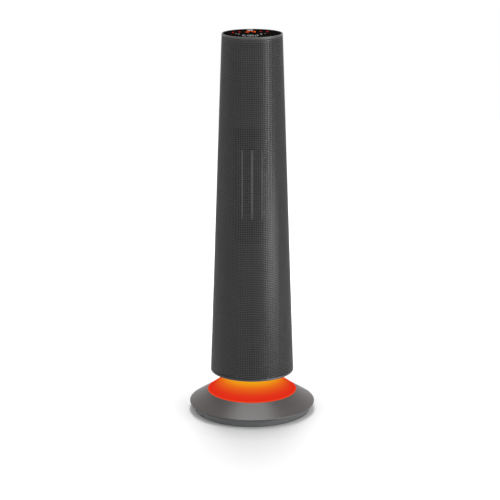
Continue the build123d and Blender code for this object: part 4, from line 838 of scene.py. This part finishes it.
@dataclass
class Studio:
    """Camera, lamps, white surroundings and the floor.

    Attributes:
        place: the camera's place.
        tilt: degrees from straight down to where the camera looks.
        lens: focal length in mm.
        sensor: width of the camera's sensor in mm.
        far: how far the camera sees.
        ambient: light of the surroundings on all that isn't seen, mirrored or looked through.
        floor_half: half of the floor's width.
        floor_grey: how much light the floor scatters.
        floor_glow_and_painted_shade: distance from the axis, and the light that the floor adds there for the
            camera alone.
            It adds nothing by the base, which paints shade round the base besides the real shadow, and makes
            the rest plain white.
        lamps: the lamps.
    """
    place: tuple[float, float, float] = (-0.0041, -3.398, 1.236)
    tilt: float = 74.997
    lens: float = 129.74
    sensor: float = 36.0
    far: float = 50.0
    ambient: float = 0.5
    floor_half: float = 3.0
    floor_grey: float = 0.8
    # The floor's own light by distance: none by the base, which paints shade round it, and plain white
    # further out
    floor_glow_and_painted_shade: tuple[tuple[float, float], ...] = (
        (0.11, 0.0), (0.15, 0.12), (0.19, 0.2), (0.35, 0.25), (0.7, 0.55))
    lamps: tuple[Softbox, ...] = (
        Softbox("strip_right", 60, 8, 2.2, 0.3, 1.8, 14.0),
        Softbox("strip_card", 57, 8, 2.2, 0.4, 1.8, 62.0, gloss_only=True),
        Softbox("low_card", 60, 0, 1.1, 0.85, 0.3, 17.0, aim=(0.0, 0.0, 0.12), gloss_only=True),
        Softbox("dish_card", 0, 92, 2.3, 1.5, 0.6, 52.0, aim=(0.0, -0.1, 0.03), gloss_only=True),
        Softbox("overhead", 0, 92, 2.3, 0.9, 0.9, 12.0, aim=(0.0, -0.1, 0.03)),
        Softbox("behind", 180, 70, 2.4, 0.6, 1.3, 30.0, aim=(0.0, 0.0, 0.03)),
        Softbox("fill_front", -20, 25, 3.2, 2.0, 2.0, 12.0),
    )

    def camera(self) -> None:
        """The camera at the photograph's angle."""
        data = bpy.data.cameras.new("camera")
        data.lens, data.sensor_width, data.clip_end = self.lens, self.sensor, self.far
        camera = bpy.data.objects.new("camera", data)
        camera.location = self.place
        camera.rotation_euler = (radians(self.tilt), 0.0, 0.0)
        bpy.context.scene.collection.objects.link(camera)
        bpy.context.scene.camera = camera

    def surroundings(self) -> None:
        """White to the camera, in gloss and through glass, and a plain level of light on all else."""
        world = bpy.data.worlds.new("studio")
        tree = blank_tree(world)
        path = add(tree, "ShaderNodeLightPath")
        seen = add(tree, "ShaderNodeMath",
                   {0: path.outputs["Is Camera Ray"], 1: path.outputs["Is Glossy Ray"]}, operation="MAXIMUM")
        shown = add(tree, "ShaderNodeMath", {0: seen.outputs[0], 1: path.outputs["Is Transmission Ray"]},
                    operation="MAXIMUM")
        level = add(tree, "ShaderNodeMapRange", {"Value": shown.outputs[0]}, To_Min=self.ambient, To_Max=1.0)
        light = add(tree, "ShaderNodeBackground", {"Strength": level.outputs[0]}, Color=WHITE)
        add(tree, "ShaderNodeOutputWorld", {"Surface": light.outputs[0]})
        bpy.context.scene.world = world

    def sweep(self) -> bpy.types.Material:
        """The floor's material: it scatters light, and adds its own along a ramp over the distance, none by
        the base, which paints shade round the base.
        """
        material = bpy.data.materials.new("floor_with_painted_shade")
        tree = blank_tree(material)
        where = add(tree, "ShaderNodeTexCoord").outputs["Object"]
        radius = add(tree, "ShaderNodeVectorMath", {0: where}, operation="LENGTH")
        level = add(tree, "ShaderNodeValToRGB", {"Fac": radius.outputs["Value"]})
        fill_ramp(level, [(place, (light, light, light, 1.0)) for place, light in self.floor_glow_and_painted_shade])
        path = add(tree, "ShaderNodeLightPath")
        shown = add(tree, "ShaderNodeMath", {0: path.outputs["Is Camera Ray"], 1: level.outputs[0]},
                    operation="MULTIPLY")
        matt = add(tree, "ShaderNodeBsdfDiffuse", Color=(*[self.floor_grey] * 3, 1.0))
        lit = add(tree, "ShaderNodeEmission", {"Strength": shown.outputs[0]}, Color=WHITE)
        both = add(tree, "ShaderNodeAddShader", {0: matt.outputs[0], 1: lit.outputs[0]})
        add(tree, "ShaderNodeOutputMaterial", {"Surface": both.outputs[0]})
        return material

    def floor(self) -> None:
        """A white floor that keeps the real shadow near the base, with painted shade round the base where it
        adds no light of its own.
        """
        half = self.floor_half
        mesh = bpy.data.meshes.new("floor")
        corners = [(-half, -half, 0), (half, -half, 0), (half, half, 0), (-half, half, 0)]
        mesh.from_pydata(corners, [], [(0, 1, 2, 3)])
        mesh.materials.append(self.sweep())
        floor = bpy.data.objects.new("floor", mesh)
        bpy.context.scene.collection.objects.link(floor)

    def build(self) -> None:
        """Set up the camera, the surroundings, the floor and the lamps."""
        self.camera()
        self.surroundings()
        self.floor()
        for lamp in self.lamps:
            lamp.build()


def main() -> None:
    """Build the studio, dress the frame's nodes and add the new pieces."""
    bpy.context.scene.view_settings.view_transform = "Standard"
    Studio().build()
    for assembly in SUB_ASSEMBLIES:
        assembly.dress()
    PerforatedSleeve().build()
    PanelMarks().build()


if __name__ == "__main__":
    main()
